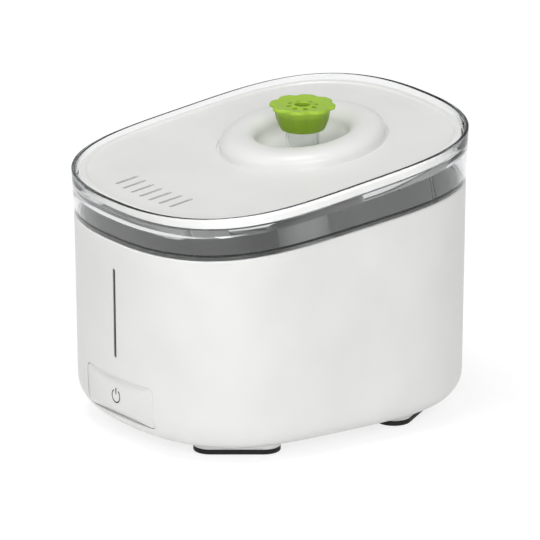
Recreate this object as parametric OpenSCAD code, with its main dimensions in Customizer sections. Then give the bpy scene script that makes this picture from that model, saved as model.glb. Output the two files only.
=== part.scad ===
// Pet water fountain: a white base, a clear lift-out tank, a pump that is fed through the tank's wall, a flow
// column, and a sloping lid with a filter tray below it and a clear flow tube with a flower cap above it.
// The front end is -Y, the rear end is +Y, and the origin is on the floor under the middle of the base.

/* [Base] */
// Length of the base at its rim
base_length = 218; // [210:1:235]
// Width of the base at its rim
base_width = 177; // [172:1:190]
// Height of the base's rim above the floor, at mid length
base_height = 130; // [126:1:140]
// Slope of the base's rim, with the rear end higher
base_slope = 5.2; // [4:0.1:6]
// Wall thickness of the base
base_wall = 2.6; // [2.2:0.1:3.2]
// Floor thickness of the base
base_floor = 3; // [2.8:0.1:4]
// Radius of the base's bottom edge
base_edge = 19; // [17:1:21]
// How much each side of the base draws in from rim to bottom
base_draft = 2; // [1:0.5:3]

/* [Feet] */
// Length of one rubber foot
foot_length = 50; // [40:1:54]
// Width of one rubber foot
foot_width = 20; // [14:1:22]
// Thickness of the rubber
foot_rubber = 3; // [2:0.5:4]
// Height of the boss that carries a foot
foot_boss = 2.5; // [1.5:0.5:4]
// Distance of a foot's middle from the base's side
foot_side = 38.5; // [36.5:0.5:44.5]
// Distance of a foot's middle from the base's end
foot_end = 51; // [47:1:59]

/* [Window and button] */
// Width of the level window in the front of the base
window_width = 2.6; // [2:0.2:4]
// Height of the window's lower end above the floor
window_low = 51; // [48:1:60]
// Height of the window's upper end above the floor
window_high = 104.5; // [90:0.5:108]
// Width of the button panel
button_width = 66; // [50:1:68]
// Height of the panel's lower edge above the floor
button_low = 15; // [14:0.5:18]
// Height of the panel's upper edge above the floor
button_high = 40; // [34:1:41]
// How far the button can be pressed
button_travel = 0.8; // [0.5:0.1:1.2]

/* [Tank] */
// Wall thickness of the tank
tank_wall = 2.2; // [1.8:0.1:2.8]
// Height of the collar above the base's rim, at mid length
collar_height = 28.6; // [27:0.2:34]
// Slope of the tank's rim and of the lid
rim_slope = 7; // [6:0.1:8]
// How far the collar leans out at each end
flare_ends = 0.8; // [0:0.2:2]
// How far the collar leans out at each side
flare_sides = 2.6; // [1.6:0.2:4]
// Space under the tank
tank_gap = 2.5; // [2:0.1:4]
// Width of the recess over the electronics bay
bay_width = 77; // [75:1:84]
// Depth of that recess, from the base's front to its rear wall
bay_depth = 36; // [34:1:39]
// Height of the recess above the tank's bottom
bay_height = 34; // [33.5:0.5:36]
// Width of the tunnel over the coil arm
arm_width = 36; // [34:1:40]
// Height of the tunnel above the tank's bottom
arm_height = 22.5; // [22:0.5:26]
// Height of the fence round the pump
fence_height = 10; // [6:0.5:14]

/* [Float] */
// Diameter of the float's guide post
post_diameter = 8; // [7:0.5:9]
// Length of the guide post
post_length = 44; // [38:1:50]
// Outer diameter of the float
float_diameter = 23; // [20:1:25]
// Height of the float
float_height = 21; // [14:1:22]

/* [Pump] */
// Distance of the water path behind mid length
axis_y = 22.7; // [21:0.1:26]
// Width of the pump
pump_width = 38.6; // [38:0.2:42]
// Length of the pump, front to rear
pump_length = 32; // [31:0.5:35]
// Height of the pump's body
pump_height = 27; // [26.5:0.5:30]
// Height of the suction cups under the pump
cup_height = 2; // [1.5:0.25:3]
// Outer diameter of the outlet pipe
outlet_diameter = 7.4; // [7:0.1:7.8]
// Length of the outlet pipe
outlet_length = 19; // [17:0.5:22]
// Diameter of the impeller
impeller_diameter = 17; // [14:0.5:18]
// Number of impeller blades
blades = 6; // [4:1:8]

/* [Flow column] */
// Outer diameter of the column
column_diameter = 28.5; // [27.5:0.1:30]
// Length of the column's body
column_length = 81; // [78:0.5:84]
// Wall thickness of the column
column_wall = 1.8; // [1.5:0.1:2.2]
// Outer diameter of the black seal on the column
seal_diameter = 31.5; // [30.5:0.1:33]
// Outer diameter of the connector below the column
connector_diameter = 10.5; // [10:0.1:12]
// Length of the connector
connector_length = 15; // [12:0.5:16]

/* [Lid] */
// Gap between the lid's ends and the tank's collar
lid_end_gap = 2.2; // [1:0.1:3]
// Gap between the lid's sides and the tank's collar
lid_side_gap = 0.8; // [0.5:0.1:1.5]
// Depth of the lid's edge
lid_edge = 5; // [4.6:0.2:7]
// How far the lid's edge lies below the tank's rim
lid_drop = 2; // [1:0.2:4]
// Thickness of the lid
lid_wall = 2.4; // [2:0.1:2.8]
// Outer diameter of the raised ring
ring_diameter = 95; // [88:1:100]
// Inner diameter of the raised ring
ring_hole = 54; // [50:1:58]
// Height of the raised ring
ring_height = 7; // [5:0.5:9]
// Number of drain slots at the front
drain_slots = 7; // [5:2:9]

/* [Filter tray] */
// Width of the filter tray
tray_width = 95; // [91:1:98]
// Depth of the tray's straight sides, front to rear
tray_side = 31; // [31:0.5:32]
// How far the tray's front bulges past its sides
tray_bulge = 12; // [11:0.5:12.5]
// Height of the tray
tray_height = 12; // [11:0.5:14]
// Distance of the tray's front from the base's front
tray_front = 7.3; // [6.8:0.1:8.5]
// Wall thickness of the tray
tray_wall = 1.6; // [1.4:0.1:1.8]
// Length of the filter pad
pad_length = 72.5; // [66:0.5:75]
// Width of the filter pad
pad_width = 29; // [24:0.5:29]
// Thickness of the filter pad
pad_height = 3; // [2.5:0.5:5]

/* [Flow tube and cap] */
// Outer diameter of the clear tube
tube_diameter = 19; // [18:0.1:19.4]
// Length of the clear tube
tube_length = 87; // [84:0.5:92]
// How far the tube reaches down into the column
tube_depth = 54; // [50:0.5:58]
// Wall thickness of the clear tube
tube_wall = 1.5; // [1.2:0.1:2]
// Diameter of the tube's flared top
flare_diameter = 22.5; // [21.5:0.1:22.9]
// Number of graduation marks on the tube
tube_marks = 12; // [8:1:12]
// Diameter over the cap's petals
petal_diameter = 38.5; // [36:0.5:42]
// Number of petals
petals = 8; // [6:1:10]
// Diameter of the cap's cup at its top
cup_top = 32; // [30:0.5:33]
// Diameter of the cap's cup at its bottom
cup_bottom = 26; // [26:0.5:28]
// Height of the cap
cap_height = 15; // [13:0.5:17]

/* [Hidden] */
$fn = 64;

seat = 0.3;              // gap under a piece that lifts off
fit = 0.15;              // gap round a piece that is pushed in
over = 1;                // how far a cutter passes the face that it cuts
lip = 0.8;               // rounding at the top of a wall
outline_points = 64;     // points round every lofted outline
side_power = 2.4;        // fullness of the outline's corners towards the sides
end_power = 3.65;        // fullness of the outline's corners towards the ends

// Heights and half sizes that the pieces share
base_bottom = foot_rubber + foot_boss;
floor_top = base_bottom + base_floor;
base_half = [base_width / 2, base_length / 2];
foot_x = base_half.x - foot_side;
foot_y = base_half.y - foot_end;
bay_rear = base_half.y - bay_depth;
tray_rear = base_half.y - tray_front - tray_bulge - tray_side;
base_tilt = tan(base_slope);
rim_tilt = tan(rim_slope);
tank_bottom = floor_top + tank_gap;
tank_floor = tank_bottom + tank_wall;
tank_inset = base_wall + 0.5;
tank_edge = base_edge - base_wall;
collar_z = base_height + seat;
rim_z = collar_z + collar_height;
rim_half = base_half + [flare_sides, flare_ends];
lid_z = rim_z - lid_drop;
shelf_z = lid_z - lid_edge - seat;
lid_half = rim_half - [tank_wall + lid_side_gap, tank_wall + lid_end_gap];

// A closed outline with full corners: |x / half.x| ^ side_power + |y / half.y| ^ end_power = 1
function bend(value, power) = sign(value) * pow(abs(value), 2 / power);
function outline(half) = [for (i = [0 : outline_points - 1]) let (a = 360 * i / outline_points)
    [half.x * bend(cos(a), side_power), half.y * bend(sin(a), end_power)]];
function edge_x(half, y) = half.x * pow(1 - pow(abs(y) / half.y, end_power), 1 / side_power);
function edge_y(half, x) = half.y * pow(1 - pow(abs(x) / half.x, side_power), 1 / end_power);

// Rings of points in space, along the outline or along a circle round the water path
function ring(half, z, tilt = 0) = [for (p = outline(half)) [p.x, p.y, z + tilt * p.y]];
function round_ring(radius, z, tilt = 0) = [for (i = [0 : outline_points - 1])
    let (a = 360 * i / outline_points)
    [radius * cos(a), axis_y + radius * sin(a), z + tilt * radius * sin(a)]];

// [inset, height] along a quarter-round edge, from the flat up to the wall
function edge(radius, steps = 4) = [for (i = [0 : steps]) let (a = 90 * i / steps)
    [radius * (1 - sin(a)), radius * (1 - cos(a))]];
function reversed(list) = [for (i = [len(list) - 1 : -1 : 0]) list[i]];

// Solid through a list of rings; a looped one closes on itself and has no end faces
module loft(rings, looped = false) {
    n = len(rings[0]);
    m = len(rings);
    sides = [for (j = [0 : m - (looped ? 1 : 2)], i = [0 : n - 1])
        let (k = (j + 1) % m, a = j * n + i, b = j * n + (i + 1) % n, c = k * n + (i + 1) % n, d = k * n + i)
        each [[a, d, c], [a, c, b]]];
    ends = looped ? [] : [[for (i = [0 : n - 1]) i], [for (i = [n - 1 : -1 : 0]) (m - 1) * n + i]];
    polyhedron([for (r = rings) each r], concat(sides, ends), convexity = 10);
}

// Slab with round corners, centred on the origin and standing on z = 0
function arc(x, y, radius, start) = [for (a = [0 : 15 : 90])
    [x + radius * cos(start + a), y + radius * sin(start + a)]];
module slab(width, length, height, radius) {
    x = width / 2 - radius;
    y = length / 2 - radius;
    linear_extrude(height) polygon(concat(arc(x, y, radius, 0), arc(-x, y, radius, 90),
        arc(-x, -y, radius, 180), arc(x, -y, radius, 270)));
}
// The same slab set upright: its front face at y = 0, its lower edge at z = 0
module upright(width, height, depth, radius) {
    translate([0, depth, height / 2]) rotate([90, 0, 0]) slab(width, height, depth, radius);
}
// Box from one corner to the opposite one
module block(low, high) {
    translate(low) cube(high - low);
}
module pipe(outer, inner, height) {
    difference() {
        cylinder(d = outer, h = height);
        translate([0, 0, -over]) cylinder(d = inner, h = height + 2 * over);
    }
}
module on_axis(z = 0) {
    translate([0, axis_y, z]) children();
}

// ---- Base ----

inlet_width = 14;        // pocket under the base that takes the plug of a power lead
inlet_length = 25;
inlet_depth = 13;
inlet_front = 7 - bay_rear;
inlet_wall = 2;
plug_z = floor_top + 4.9;
barrel_diameter = 8;
screw_diameter = 3;
screw_head = 5.6;
screw_bore = 12;         // depth of a screw's hole in its post
head_height = 1.5;
cover_front = 16.5 - base_half.y;
screw_places = [for (x = [-1, 1]) each [[31 * x, cover_front + 12.3], [11 * x, axis_y - 40.7]]];
flange = 2.5;            // how far the button's flange reaches behind the wall, at its sides and its top

function base_ring(inset, z, tilt = 0) =
    ring(base_half - [1, 1] * (inset + base_draft * (1 - z / base_height)), z, tilt);
function base_outside() = concat([for (e = edge(base_edge)) base_ring(e[0], base_bottom + e[1])],
    [base_ring(0, base_height - lip, base_tilt), base_ring(lip, base_height, base_tilt)]);
// The base's inner face, drawn in by gap, up to the rings given for its top
function base_inside(gap, top) = concat(
    [for (e = edge(base_edge - base_wall)) base_ring(base_wall + gap + e[0], floor_top + gap + e[1])], top);
module base_wall_form() {
    loft(concat(base_outside(), reversed(base_inside(0,
        [base_ring(base_wall, base_height - lip, base_tilt),
        base_ring(base_wall - lip, base_height, base_tilt)]))), looped = true);
}
// Solid that fills the base's lower part, gap inside its wall
module base_filling(gap) {
    loft(base_inside(gap, [base_ring(base_wall + gap, button_high + 3 * flange)]));
}

module at_feet() {
    for (x = [-1, 1], y = [-1, 1])
        translate([x * foot_x, y * foot_y]) rotate(-55 * x * y) children();
}
module foot_slab(height) {
    slab(foot_length, foot_width, height, foot_width / 2 - 0.05);
}
module window_block(gap) {
    translate([0, -base_half.y - over, window_low + gap])
        upright(window_width - 2 * gap, window_high - window_low - 2 * gap,
            base_wall + base_draft + 2 * over, window_width / 2 - gap - 0.05);
}
// Straight way through the front wall, grown by grow on every side
module button_block(grow) {
    translate([0, -base_half.y - over, button_low - grow])
        upright(button_width + 2 * grow, button_high - button_low + 2 * grow, base_edge, 4);
}
module inlet_pocket(grow, low) {
    translate([0, inlet_front + inlet_length / 2, low])
        slab(inlet_width + 2 * grow, inlet_length + 2 * grow, base_bottom + inlet_depth + grow - low,
            1 + grow);
}

module base_shell() {
    color("white") difference() {
        base_wall_form();
        window_block(0);
        button_block(0);
    }
}
// Flat plate that closes the shell from below
module base_plate() {
    color("white") difference() {
        union() {
            loft([base_ring(base_edge, base_bottom), base_ring(base_edge, floor_top)]);
            inlet_pocket(inlet_wall, base_bottom);
        }
        inlet_pocket(0, base_bottom - over);
        translate([0, inlet_front + over, plug_z]) rotate([90, 0, 0])
            cylinder(d = barrel_diameter + 2 * fit, h = inlet_wall + 2 * over);
        for (p = screw_places) translate([p.x, p.y, base_bottom - over]) {
            cylinder(d = screw_head + 2 * fit, h = head_height + fit + over);
            cylinder(d = screw_diameter + 2 * fit, h = base_floor + 2 * over);
        }
    }
}
module foot_bosses() {
    color("white") at_feet() translate([0, 0, foot_rubber]) foot_slab(foot_boss);
}
module rubber_feet() {
    color("black") at_feet() foot_slab(foot_rubber);
}
module level_window() {
    color("dimgray") intersection() {
        base_wall_form();
        window_block(fit);
    }
}

// ---- Button ----

button_y = -base_half.y + base_draft + base_wall + 1.5;   // behind the middle of the panel
button_z = (button_low + button_high) / 2;
cover_wall = 2;
post_width = 7;          // diameter of a screw post
board_y = cover_front + 7;
board_thickness = 1.6;
board_width = 53;
switch_size = 6;
switch_depth = 4.3;
switch_floor = 0.6;
plunger_diameter = 3.4;

module button_panel() {
    color("white") {
        difference() {
            union() {
                intersection() {
                    loft(base_outside());
                    button_block(-2 * fit);
                }
                intersection() {
                    base_filling(seat);
                    translate([0, -base_half.y, button_low + 2 * fit])
                        upright(button_width + 2 * flange, button_high - button_low + flange, base_edge, 4);
                }
            }
            base_filling(seat + 1.5);
        }
        translate([0, button_y, button_z]) rotate([90, 0, 0]) cylinder(d = 7, h = 3);
    }
}
module switch_plunger() {
    color("dimgray") translate([0, button_y, button_z]) rotate([-90, 0, 0])
        cylinder(d = plunger_diameter, h = board_y - switch_floor - button_travel - 0.2 - button_y);
}
module push_switch() {
    color("gray") translate([0, board_y, button_z]) difference() {
        translate([-switch_size / 2, -switch_depth, -switch_size / 2])
            cube([switch_size, switch_depth, switch_size]);
        translate([0, -switch_floor, 0]) rotate([90, 0, 0])
            cylinder(d = plunger_diameter + 2 * fit, h = switch_depth);
    }
}

// ---- Electronics under the tank ----

pump_gap = 2;            // from the pump to the tank's walls in front of it
arm_end = axis_y - pump_length / 2 - pump_gap - tank_wall;
cover_gap = 0.8;         // from the cover to the tank all round
arm_roof = tank_bottom + arm_height;
bay_roof = tank_bottom + bay_height;
coil_z = (floor_top + arm_roof) / 2 - 1;
coil_diameter = 19;
coil_depth = 4;
post = [11, 26 - bay_rear];   // place of the float's guide post

// Blocks of the bay and of the arm, drawn in by gap and reaching from low to their roofs
module bay_block(gap, front, low) {
    rear = -bay_rear - gap;
    translate([0, (front + rear) / 2, low]) slab(bay_width - 2 * gap, rear - front, bay_roof - gap - low, 2);
}
module arm_block(gap, low, rear_gap) {
    start = -bay_rear - gap - 6;
    end = arm_end - rear_gap;
    translate([0, (start + end) / 2, low]) slab(arm_width - 2 * gap, end - start, arm_roof - gap - low, 2);
}
module bay_form(gap, front, low, rear_gap) {
    bay_block(gap, front, low);
    arm_block(gap, low, rear_gap);
}
// The cover is hollow and open below; its screw posts stand on the base's floor
module screw_posts(places, roof) {
    difference() {
        union() {
            children();
            for (p = places) translate([p.x, p.y, floor_top])
                cylinder(d = post_width, h = roof - cover_gap - 1 - floor_top);
        }
        for (p = places) translate([p.x, p.y, floor_top - over])
            cylinder(d = screw_diameter, h = screw_bore + over);
    }
}
module bay_cover() {
    inner = cover_gap + cover_wall;
    color("white") difference() {
        screw_posts([for (p = screw_places) if (p.y < -bay_rear) p], bay_roof) {
            difference() {
                intersection() {
                    bay_block(cover_gap, cover_front, floor_top);
                    base_filling(0.2);
                }
                bay_form(inner, cover_front + cover_wall, floor_top - over, inner);
            }
            for (x = [-25, 25]) translate([x, board_y, button_z + 6]) rotate([90, 0, 0])
                cylinder(d = 5, h = board_y - cover_front - 1);
        }
        translate([0, cover_front - over, button_z]) rotate([-90, 0, 0])
            cylinder(d = plunger_diameter + 2, h = cover_wall + 2 * over);
    }
}
module arm_cover() {
    inner = cover_gap + cover_wall;
    color("white") screw_posts([for (p = screw_places) if (p.y > -bay_rear) p], arm_roof) {
        difference() {
            arm_block(cover_gap, floor_top + 0.2, cover_gap);
            arm_block(inner, floor_top - over, inner);
            bay_block(cover_gap, cover_front, floor_top - over);
        }
    }
}
module cover_screws() {
    color("silver") for (p = screw_places) translate([p.x, p.y, base_bottom]) {
        cylinder(d = screw_head, h = head_height);
        cylinder(d = screw_diameter - 0.1, h = base_floor + screw_bore - 2);
    }
}
module circuit_board() {
    color("darkgreen") block([-board_width / 2, board_y, floor_top + 3],
        [board_width / 2, board_y + board_thickness, bay_roof - 6]);
}
module power_inlet() {
    color("dimgray") difference() {
        union() {
            block([-4.8, inlet_front - inlet_wall - 12, floor_top],
                [4.8, inlet_front - inlet_wall, plug_z + 4.9]);
            translate([0, inlet_front, plug_z]) rotate([90, 0, 0]) cylinder(d = barrel_diameter, h = 5);
        }
        translate([0, inlet_front + over, plug_z]) rotate([90, 0, 0]) pipe(6, 2, 10);
    }
}
module supply_coil() {
    color("peru") translate([0, arm_end - cover_gap - cover_wall, coil_z]) rotate([90, 0, 0])
        pipe(coil_diameter, 9, coil_depth);
}
module coil_core() {
    color("dimgray") translate([0, arm_end - cover_gap - cover_wall, coil_z]) rotate([90, 0, 0]) {
        cylinder(d = 8.6, h = coil_depth + over);
        translate([0, 0, coil_depth]) cylinder(d = coil_diameter + 2, h = 1.6);
    }
}
module float_sensor() {
    color("black") translate([post.x - 3, post.y - 2, arm_roof - cover_gap - cover_wall - 2]) cube([6, 4, 2]);
}

// ---- Tank ----

shelf_width = 3;         // width of the bead that the lid rests on
rib_width = 2;
rib_depth = 1.3;
rib_length = 26;
foot_places = [[base_half.x - 34.5, 53 - base_half.y], [base_half.x - 32.5, base_half.y - 63]];
tank_foot = 10;
fence_wall = 1.8;
fence_gap = 3.5;

function tank_ring(inset, z, tilt = 0) = base_ring(tank_inset + inset, z, tilt);
function collar_ring(inset, rise, tilt) = ring(base_half - [1, 1] * inset
    + [flare_sides, flare_ends] * rise / collar_height, collar_z + rise, tilt);
function tank_outside() = concat([for (e = edge(tank_edge)) tank_ring(e[0], tank_bottom + e[1])],
    [ring(base_half - [1, 1] * tank_inset, collar_z, base_tilt)]);
// The tank's inner face, drawn in by gap, from its floor up to the collar
function tank_inside(gap, top = 0) = concat(
    [for (e = edge(tank_edge - tank_wall)) tank_ring(tank_wall + gap + e[0], tank_floor + gap + e[1])],
    [ring(base_half - [1, 1] * (tank_inset + tank_wall + gap), collar_z + top, base_tilt)]);
// Recess and tunnel over the electronics, grown by grow
module recess_form(grow) {
    bay_form(-grow, -base_half.y - over, tank_bottom - 2 * over, -grow);
}
module wall_rib(place, turn) {
    drop = collar_z + base_tilt * place.y - 4;
    translate([place.x, place.y, drop - rib_length]) rotate(turn)
        translate([-rib_depth, -rib_width / 2, 0]) cube([rib_depth + 1, rib_width, rib_length]);
}
module tank() {
    wall_half = base_half - [1, 1] * (tank_inset + tank_wall + 0.3);
    color("lightblue", 0.4) union() {
        difference() {
            loft(concat(tank_outside(), reversed(tank_inside(0))));
            recess_form(tank_wall);
        }
        for (side = [-1, 1]) {
            for (y = [-37, 37]) wall_rib([side * edge_x(wall_half, y), y], side > 0 ? 0 : 180);
            wall_rib([17 * side, edge_y(wall_half, 17)], 90);
        }
    }
}
// Wide band above the base's rim, with the bead that the lid rests on
module tank_collar() {
    shelf_rise = shelf_z - collar_z;
    bead = lid_half - [1, 1] * shelf_width;
    inner = base_half - [1, 1] * (tank_inset + tank_wall);
    color("lightblue", 0.4) loft([
        collar_ring(lip, 0, base_tilt),
        collar_ring(0, lip, base_tilt),
        collar_ring(0, collar_height - lip, rim_tilt),
        collar_ring(lip, collar_height, rim_tilt),
        collar_ring(tank_wall - lip, collar_height, rim_tilt),
        collar_ring(tank_wall, collar_height - lip, rim_tilt),
        collar_ring(tank_wall, shelf_rise + 0.1, rim_tilt),
        ring(bead, shelf_z, rim_tilt),
        ring(bead, shelf_z - 1.6, rim_tilt),
        collar_ring(tank_wall, shelf_rise - 5, rim_tilt),
        collar_ring(tank_wall, tank_wall + lip, base_tilt),
        ring(inner, collar_z + tank_wall - 0.2, base_tilt),
        ring(inner, collar_z, base_tilt)], looped = true);
}
module tank_recess() {
    color("slategray", 0.6) difference() {
        intersection() {
            loft(tank_outside());
            recess_form(tank_wall);
        }
        recess_form(0);
    }
}
module pump_fence() {
    x = pump_width / 2 + fence_gap;
    rear = axis_y + pump_length / 2 + fence_gap;
    front = arm_end + tank_wall - 0.2;
    color("lightblue", 0.4) difference() {
        block([-x - fence_wall, front - fence_wall, tank_floor],
            [x + fence_wall, rear + fence_wall, tank_floor + fence_height]);
        block([-x, front, tank_floor - over], [x, rear, tank_floor + fence_height + over]);
        recess_form(tank_wall);
    }
}
module guide_post() {
    color("lightblue", 0.4) translate([post.x, post.y, arm_roof + tank_wall])
        pipe(post_diameter, post_diameter - 3, post_length);
}
module tank_feet() {
    color("lightblue", 0.4) for (side = [-1, 1], p = foot_places)
        translate([side * p.x, p.y, floor_top + seat]) cylinder(d = tank_foot, h = tank_gap - seat);
}
module level_strip() {
    color("black") intersection() {
        difference() {
            loft(tank_inside(0.05));
            loft(tank_inside(1.05));
        }
        block([-1.5, -base_half.y, window_low + 5], [1.5, 0, window_high + 7]);
    }
}

// ---- Float ----

post_top = arm_roof + tank_wall + post_length;
float_z = arm_roof + tank_wall + seat;
float_bore = post_diameter + 1.2;
magnet_height = 3;

module post_cap() {
    color("white") translate([post.x, post.y, post_top]) {
        cylinder(d = float_bore + 1.8, h = 2);
        translate([0, 0, -4]) cylinder(d = post_diameter - 3 - 2 * fit, h = 5);
    }
}
module float_ring() {
    r = float_diameter / 2;
    b = float_bore / 2;
    h = float_height;
    color("white") translate([post.x, post.y, float_z]) rotate_extrude() polygon([
        [b, h], [b, magnet_height], [b + 3, magnet_height], [b + 3, 0], [r - 2, 0], [r, 2],
        [r, h - 3], [r - 1, h - 1], [r - 3, h]]);
}
module float_magnet() {
    color("dimgray") translate([post.x, post.y, float_z + 0.4])
        pipe(float_bore + 6 - 2 * fit, float_bore, magnet_height - 0.4);
}

// ---- Pump ----

pump_z = tank_floor + seat + cup_height;
pump_top = pump_z + pump_height;
outlet_top = pump_top + outlet_length;
spin_z = pump_z + pump_height / 2;
pump_corner = 1.6;       // radius of the pump's upright edges
cover_depth = 7;         // depth of the end cover, along x
split_x = pump_width / 2 - cover_depth;
shaft_diameter = 2;
rotor_diameter = 10;
well_end = -pump_width / 2 + 3.5;
chamber_start = -5;      // where the impeller's chamber meets the magnet's well
chamber_diameter = impeller_diameter + 2;
plate_thickness = 1.5;
cup_diameter = 8;
slider_z = pump_top - 7;
housing_wall = 1.8;
housing_back = -pump_width / 2 + housing_wall;
pocket_width = 21;       // pocket that holds the stator round the magnet's well
pocket_height = 22;
pocket_side = 8;         // how far it reaches in front of the axis
stator_gap = 0.2;
core_x = housing_back + 4;
core_depth = 6;
winding_height = 9.6;
winding_depth = 3.4;
ridge_pitch = 5.6;
groove = 0.7;            // depth of the pump's grooves and steps

// Puts a shape drawn along z onto the impeller's axis, which runs along x
module on_spin(x) {
    translate([x, axis_y, spin_z]) rotate([0, 90, 0]) children();
}
// The part of the pump's block that lies between x0 and x1
module pump_body(x0, x1) {
    intersection() {
        on_axis(pump_z) slab(pump_width, pump_length, pump_height, pump_corner);
        block([x0, axis_y - pump_length, pump_z - over], [x1, axis_y + pump_length, pump_top + over]);
    }
}
module pump_housing() {
    back = housing_back;
    front = axis_y - pump_length / 2;
    color("black") difference() {
        union() {
            pump_body(back, split_x);
            on_axis(pump_top - over) cylinder(d = outlet_diameter, h = outlet_length + over);
            on_axis(pump_top - over) cylinder(d = outlet_diameter + 4, h = 2.5 + over);
        }
        on_spin(chamber_start) cylinder(d = chamber_diameter, h = split_x - chamber_start + over);
        on_spin(well_end) cylinder(d = rotor_diameter + 1.4, h = chamber_start - well_end + over);
        on_axis(spin_z) cylinder(d = outlet_diameter - 2.4, h = pump_height + outlet_length);
        // pocket for the stator round the magnet's well, open at the back
        difference() {
            translate([back - over, axis_y - pocket_side, spin_z - pocket_height / 2])
                cube([chamber_start - 2 - back + over, pocket_width, pocket_height]);
            on_spin(well_end - 1) cylinder(d = rotor_diameter + 3.4, h = chamber_start - well_end + over);
        }
        // slot for the pickup coil behind the front wall, open at the back
        translate([back - over, front + housing_wall, spin_z - coil_diameter / 2 - 1])
            cube([26 + over, 3, coil_diameter + 2]);
        // ridges across the front face
        for (i = [0 : 3]) block([back + 2, front - over, pump_z + 4 + ridge_pitch * i],
            [split_x - 2, front + groove, pump_z + 6.4 + ridge_pitch * i]);
    }
}
module pump_back_cover() {
    color("black") pump_body(-pump_width / 2, -pump_width / 2 + 1.7);
}
module pump_end_cover() {
    face = pump_width / 2;
    color("black") difference() {
        pump_body(split_x + 0.1, face);
        translate([(split_x + face - housing_wall) / 2, axis_y, pump_z + housing_wall])
            slab(face - housing_wall - split_x, pump_length - 2 * housing_wall,
                pump_height - 2 * housing_wall, 1);
        // lower rear part with the intake slots, bounded by an arc
        difference() {
            block([face - groove, axis_y + 4, pump_z - over],
                [face + over, axis_y + pump_length, pump_top + over]);
            translate([face - 2, axis_y - 5, pump_z + pump_height * 0.55]) rotate([0, 90, 0])
                cylinder(r = 14, h = 4);
            block([face - 2, axis_y, pump_z - 2 * over], [face + 2, axis_y + 7.6, pump_z + pump_height / 2]);
        }
        for (i = [0 : 3]) block([face - 3, axis_y + 10.2, pump_z + 4.2 + 4.8 * i],
            [face + over, axis_y + 13.8, pump_z + 6 + 4.8 * i]);
        block([face - 3, axis_y - 11, slider_z - 1], [face + over, axis_y + 1, slider_z + 1]);
    }
}
module flow_slider() {
    color("dimgray") translate([pump_width / 2, axis_y - 8.6, slider_z]) {
        block([-2.2, -1.2, -0.8], [0.4, 1.2, 0.8]);
        block([0.3, -1.8, -1.6], [1.5, 1.8, 1.6]);
        block([-3.2, -2.2, -1.8], [-2.1, 2.2, 1.8]);
    }
}
module chamber_plate() {
    color("dimgray") on_spin(split_x - plate_thickness) difference() {
        cylinder(d = chamber_diameter - 2 * fit, h = plate_thickness);
        for (a = [0 : 60 : 300]) rotate(a) translate([5, 0, -over])
            cylinder(d = 3.4, h = plate_thickness + 2 * over);
        translate([0, 0, -over]) cylinder(d = shaft_diameter, h = plate_thickness + 2 * over);
    }
}
module suction_cups() {
    for (x = [6.3 - pump_width / 2, pump_width / 2 - 10.3], side = [-1, 1])
        color("dimgray") translate([x, axis_y + side * (pump_length / 2 - 6), tank_floor + seat])
            cylinder(d1 = cup_diameter, d2 = 0.6 * cup_diameter, h = cup_height);
}
module impeller() {
    hub = 6;
    color("white") difference() {
        on_spin(chamber_start + 0.6) {
            cylinder(d = hub, h = 9);
            cylinder(d = impeller_diameter, h = 1);
            for (i = [0 : blades - 1]) rotate(360 * i / blades)
                translate([hub / 2 - 0.5, -0.5, 0]) cube([(impeller_diameter - hub) / 2, 1, 7]);
        }
        on_spin(chamber_start - over) cylinder(d = shaft_diameter + 0.1, h = 12);
    }
}
module rotor_magnet() {
    color("dimgray") on_spin(well_end + 0.6)
        pipe(rotor_diameter, shaft_diameter + 0.1, chamber_start - well_end);
}
module impeller_shaft() {
    color("silver") on_spin(well_end) cylinder(d = shaft_diameter, h = split_x - well_end);
}
module stator_core() {
    color("silver") difference() {
        translate([core_x, axis_y - pocket_side + stator_gap, spin_z - pocket_height / 2 + stator_gap])
            cube([core_depth, pocket_width - 2 * stator_gap, pocket_height - 2 * stator_gap]);
        on_spin(core_x - 0.5) cylinder(d = rotor_diameter + 3.8, h = core_depth + 2);
        translate([core_x - 0.5, axis_y + 9, spin_z - winding_height / 2 - stator_gap])
            cube([core_depth + 2, 5, winding_height + 2 * stator_gap]);
    }
}
module stator_coil() {
    color("peru") translate([core_x - 1.5, axis_y + 9 + stator_gap, spin_z - winding_height / 2])
        cube([core_depth + 2, winding_depth, winding_height]);
}
module pickup_coil() {
    color("peru") translate([-4, axis_y - pump_length / 2 + 4.7, spin_z]) rotate([90, 0, 0])
        pipe(coil_diameter, 9, 2.6);
}

// ---- Flow column ----

column_z = outlet_top + seat;
column_top = column_z + column_length;
column_r = column_diameter / 2;
neck_length = 4.5;
neck_diameter = outlet_diameter + 2 * fit + 1.8;
foot_r = column_r - 3.8;
foot_height = 7;
tube_z = column_top - tube_depth;
seal_thickness = 2;
seal_height = 7;

module column_shell() {
    inner = column_r - column_wall;
    ledge = tube_z - seat - column_z;
    top = column_length - seal_thickness;
    color("gainsboro") on_axis(column_z) rotate_extrude() polygon([
        [inner, foot_height], [column_r, foot_height], [column_r, top], [inner, top], [inner, ledge],
        [8, ledge], [8, ledge - 1.5], [inner, ledge - 4]]);
}
module column_foot() {
    neck = neck_diameter / 2 + 0.05;
    color("gainsboro") on_axis(column_z) rotate_extrude() polygon([
        [neck, 0], [foot_r, 0], [foot_r, 2], [column_r - 1, foot_height - 2], [column_r, foot_height],
        [column_r - column_wall, foot_height], [foot_r - column_wall, 2.2], [neck, 2.2]]);
}
module column_seal() {
    bore = tube_diameter / 2 + 0.4;
    plug = column_r - column_wall - fit;
    rim = seal_height - seal_thickness;
    color("black") on_axis(column_top - seal_height) rotate_extrude() polygon([
        [bore, 0], [plug, 0], [plug, rim], [seal_diameter / 2, rim],
        [seal_diameter / 2, seal_height], [bore, seal_height]]);
}
module column_foot_ring() {
    color("black") on_axis(column_z) pipe(2 * foot_r + 1.8, 2 * foot_r, 1.6);
}
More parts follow.
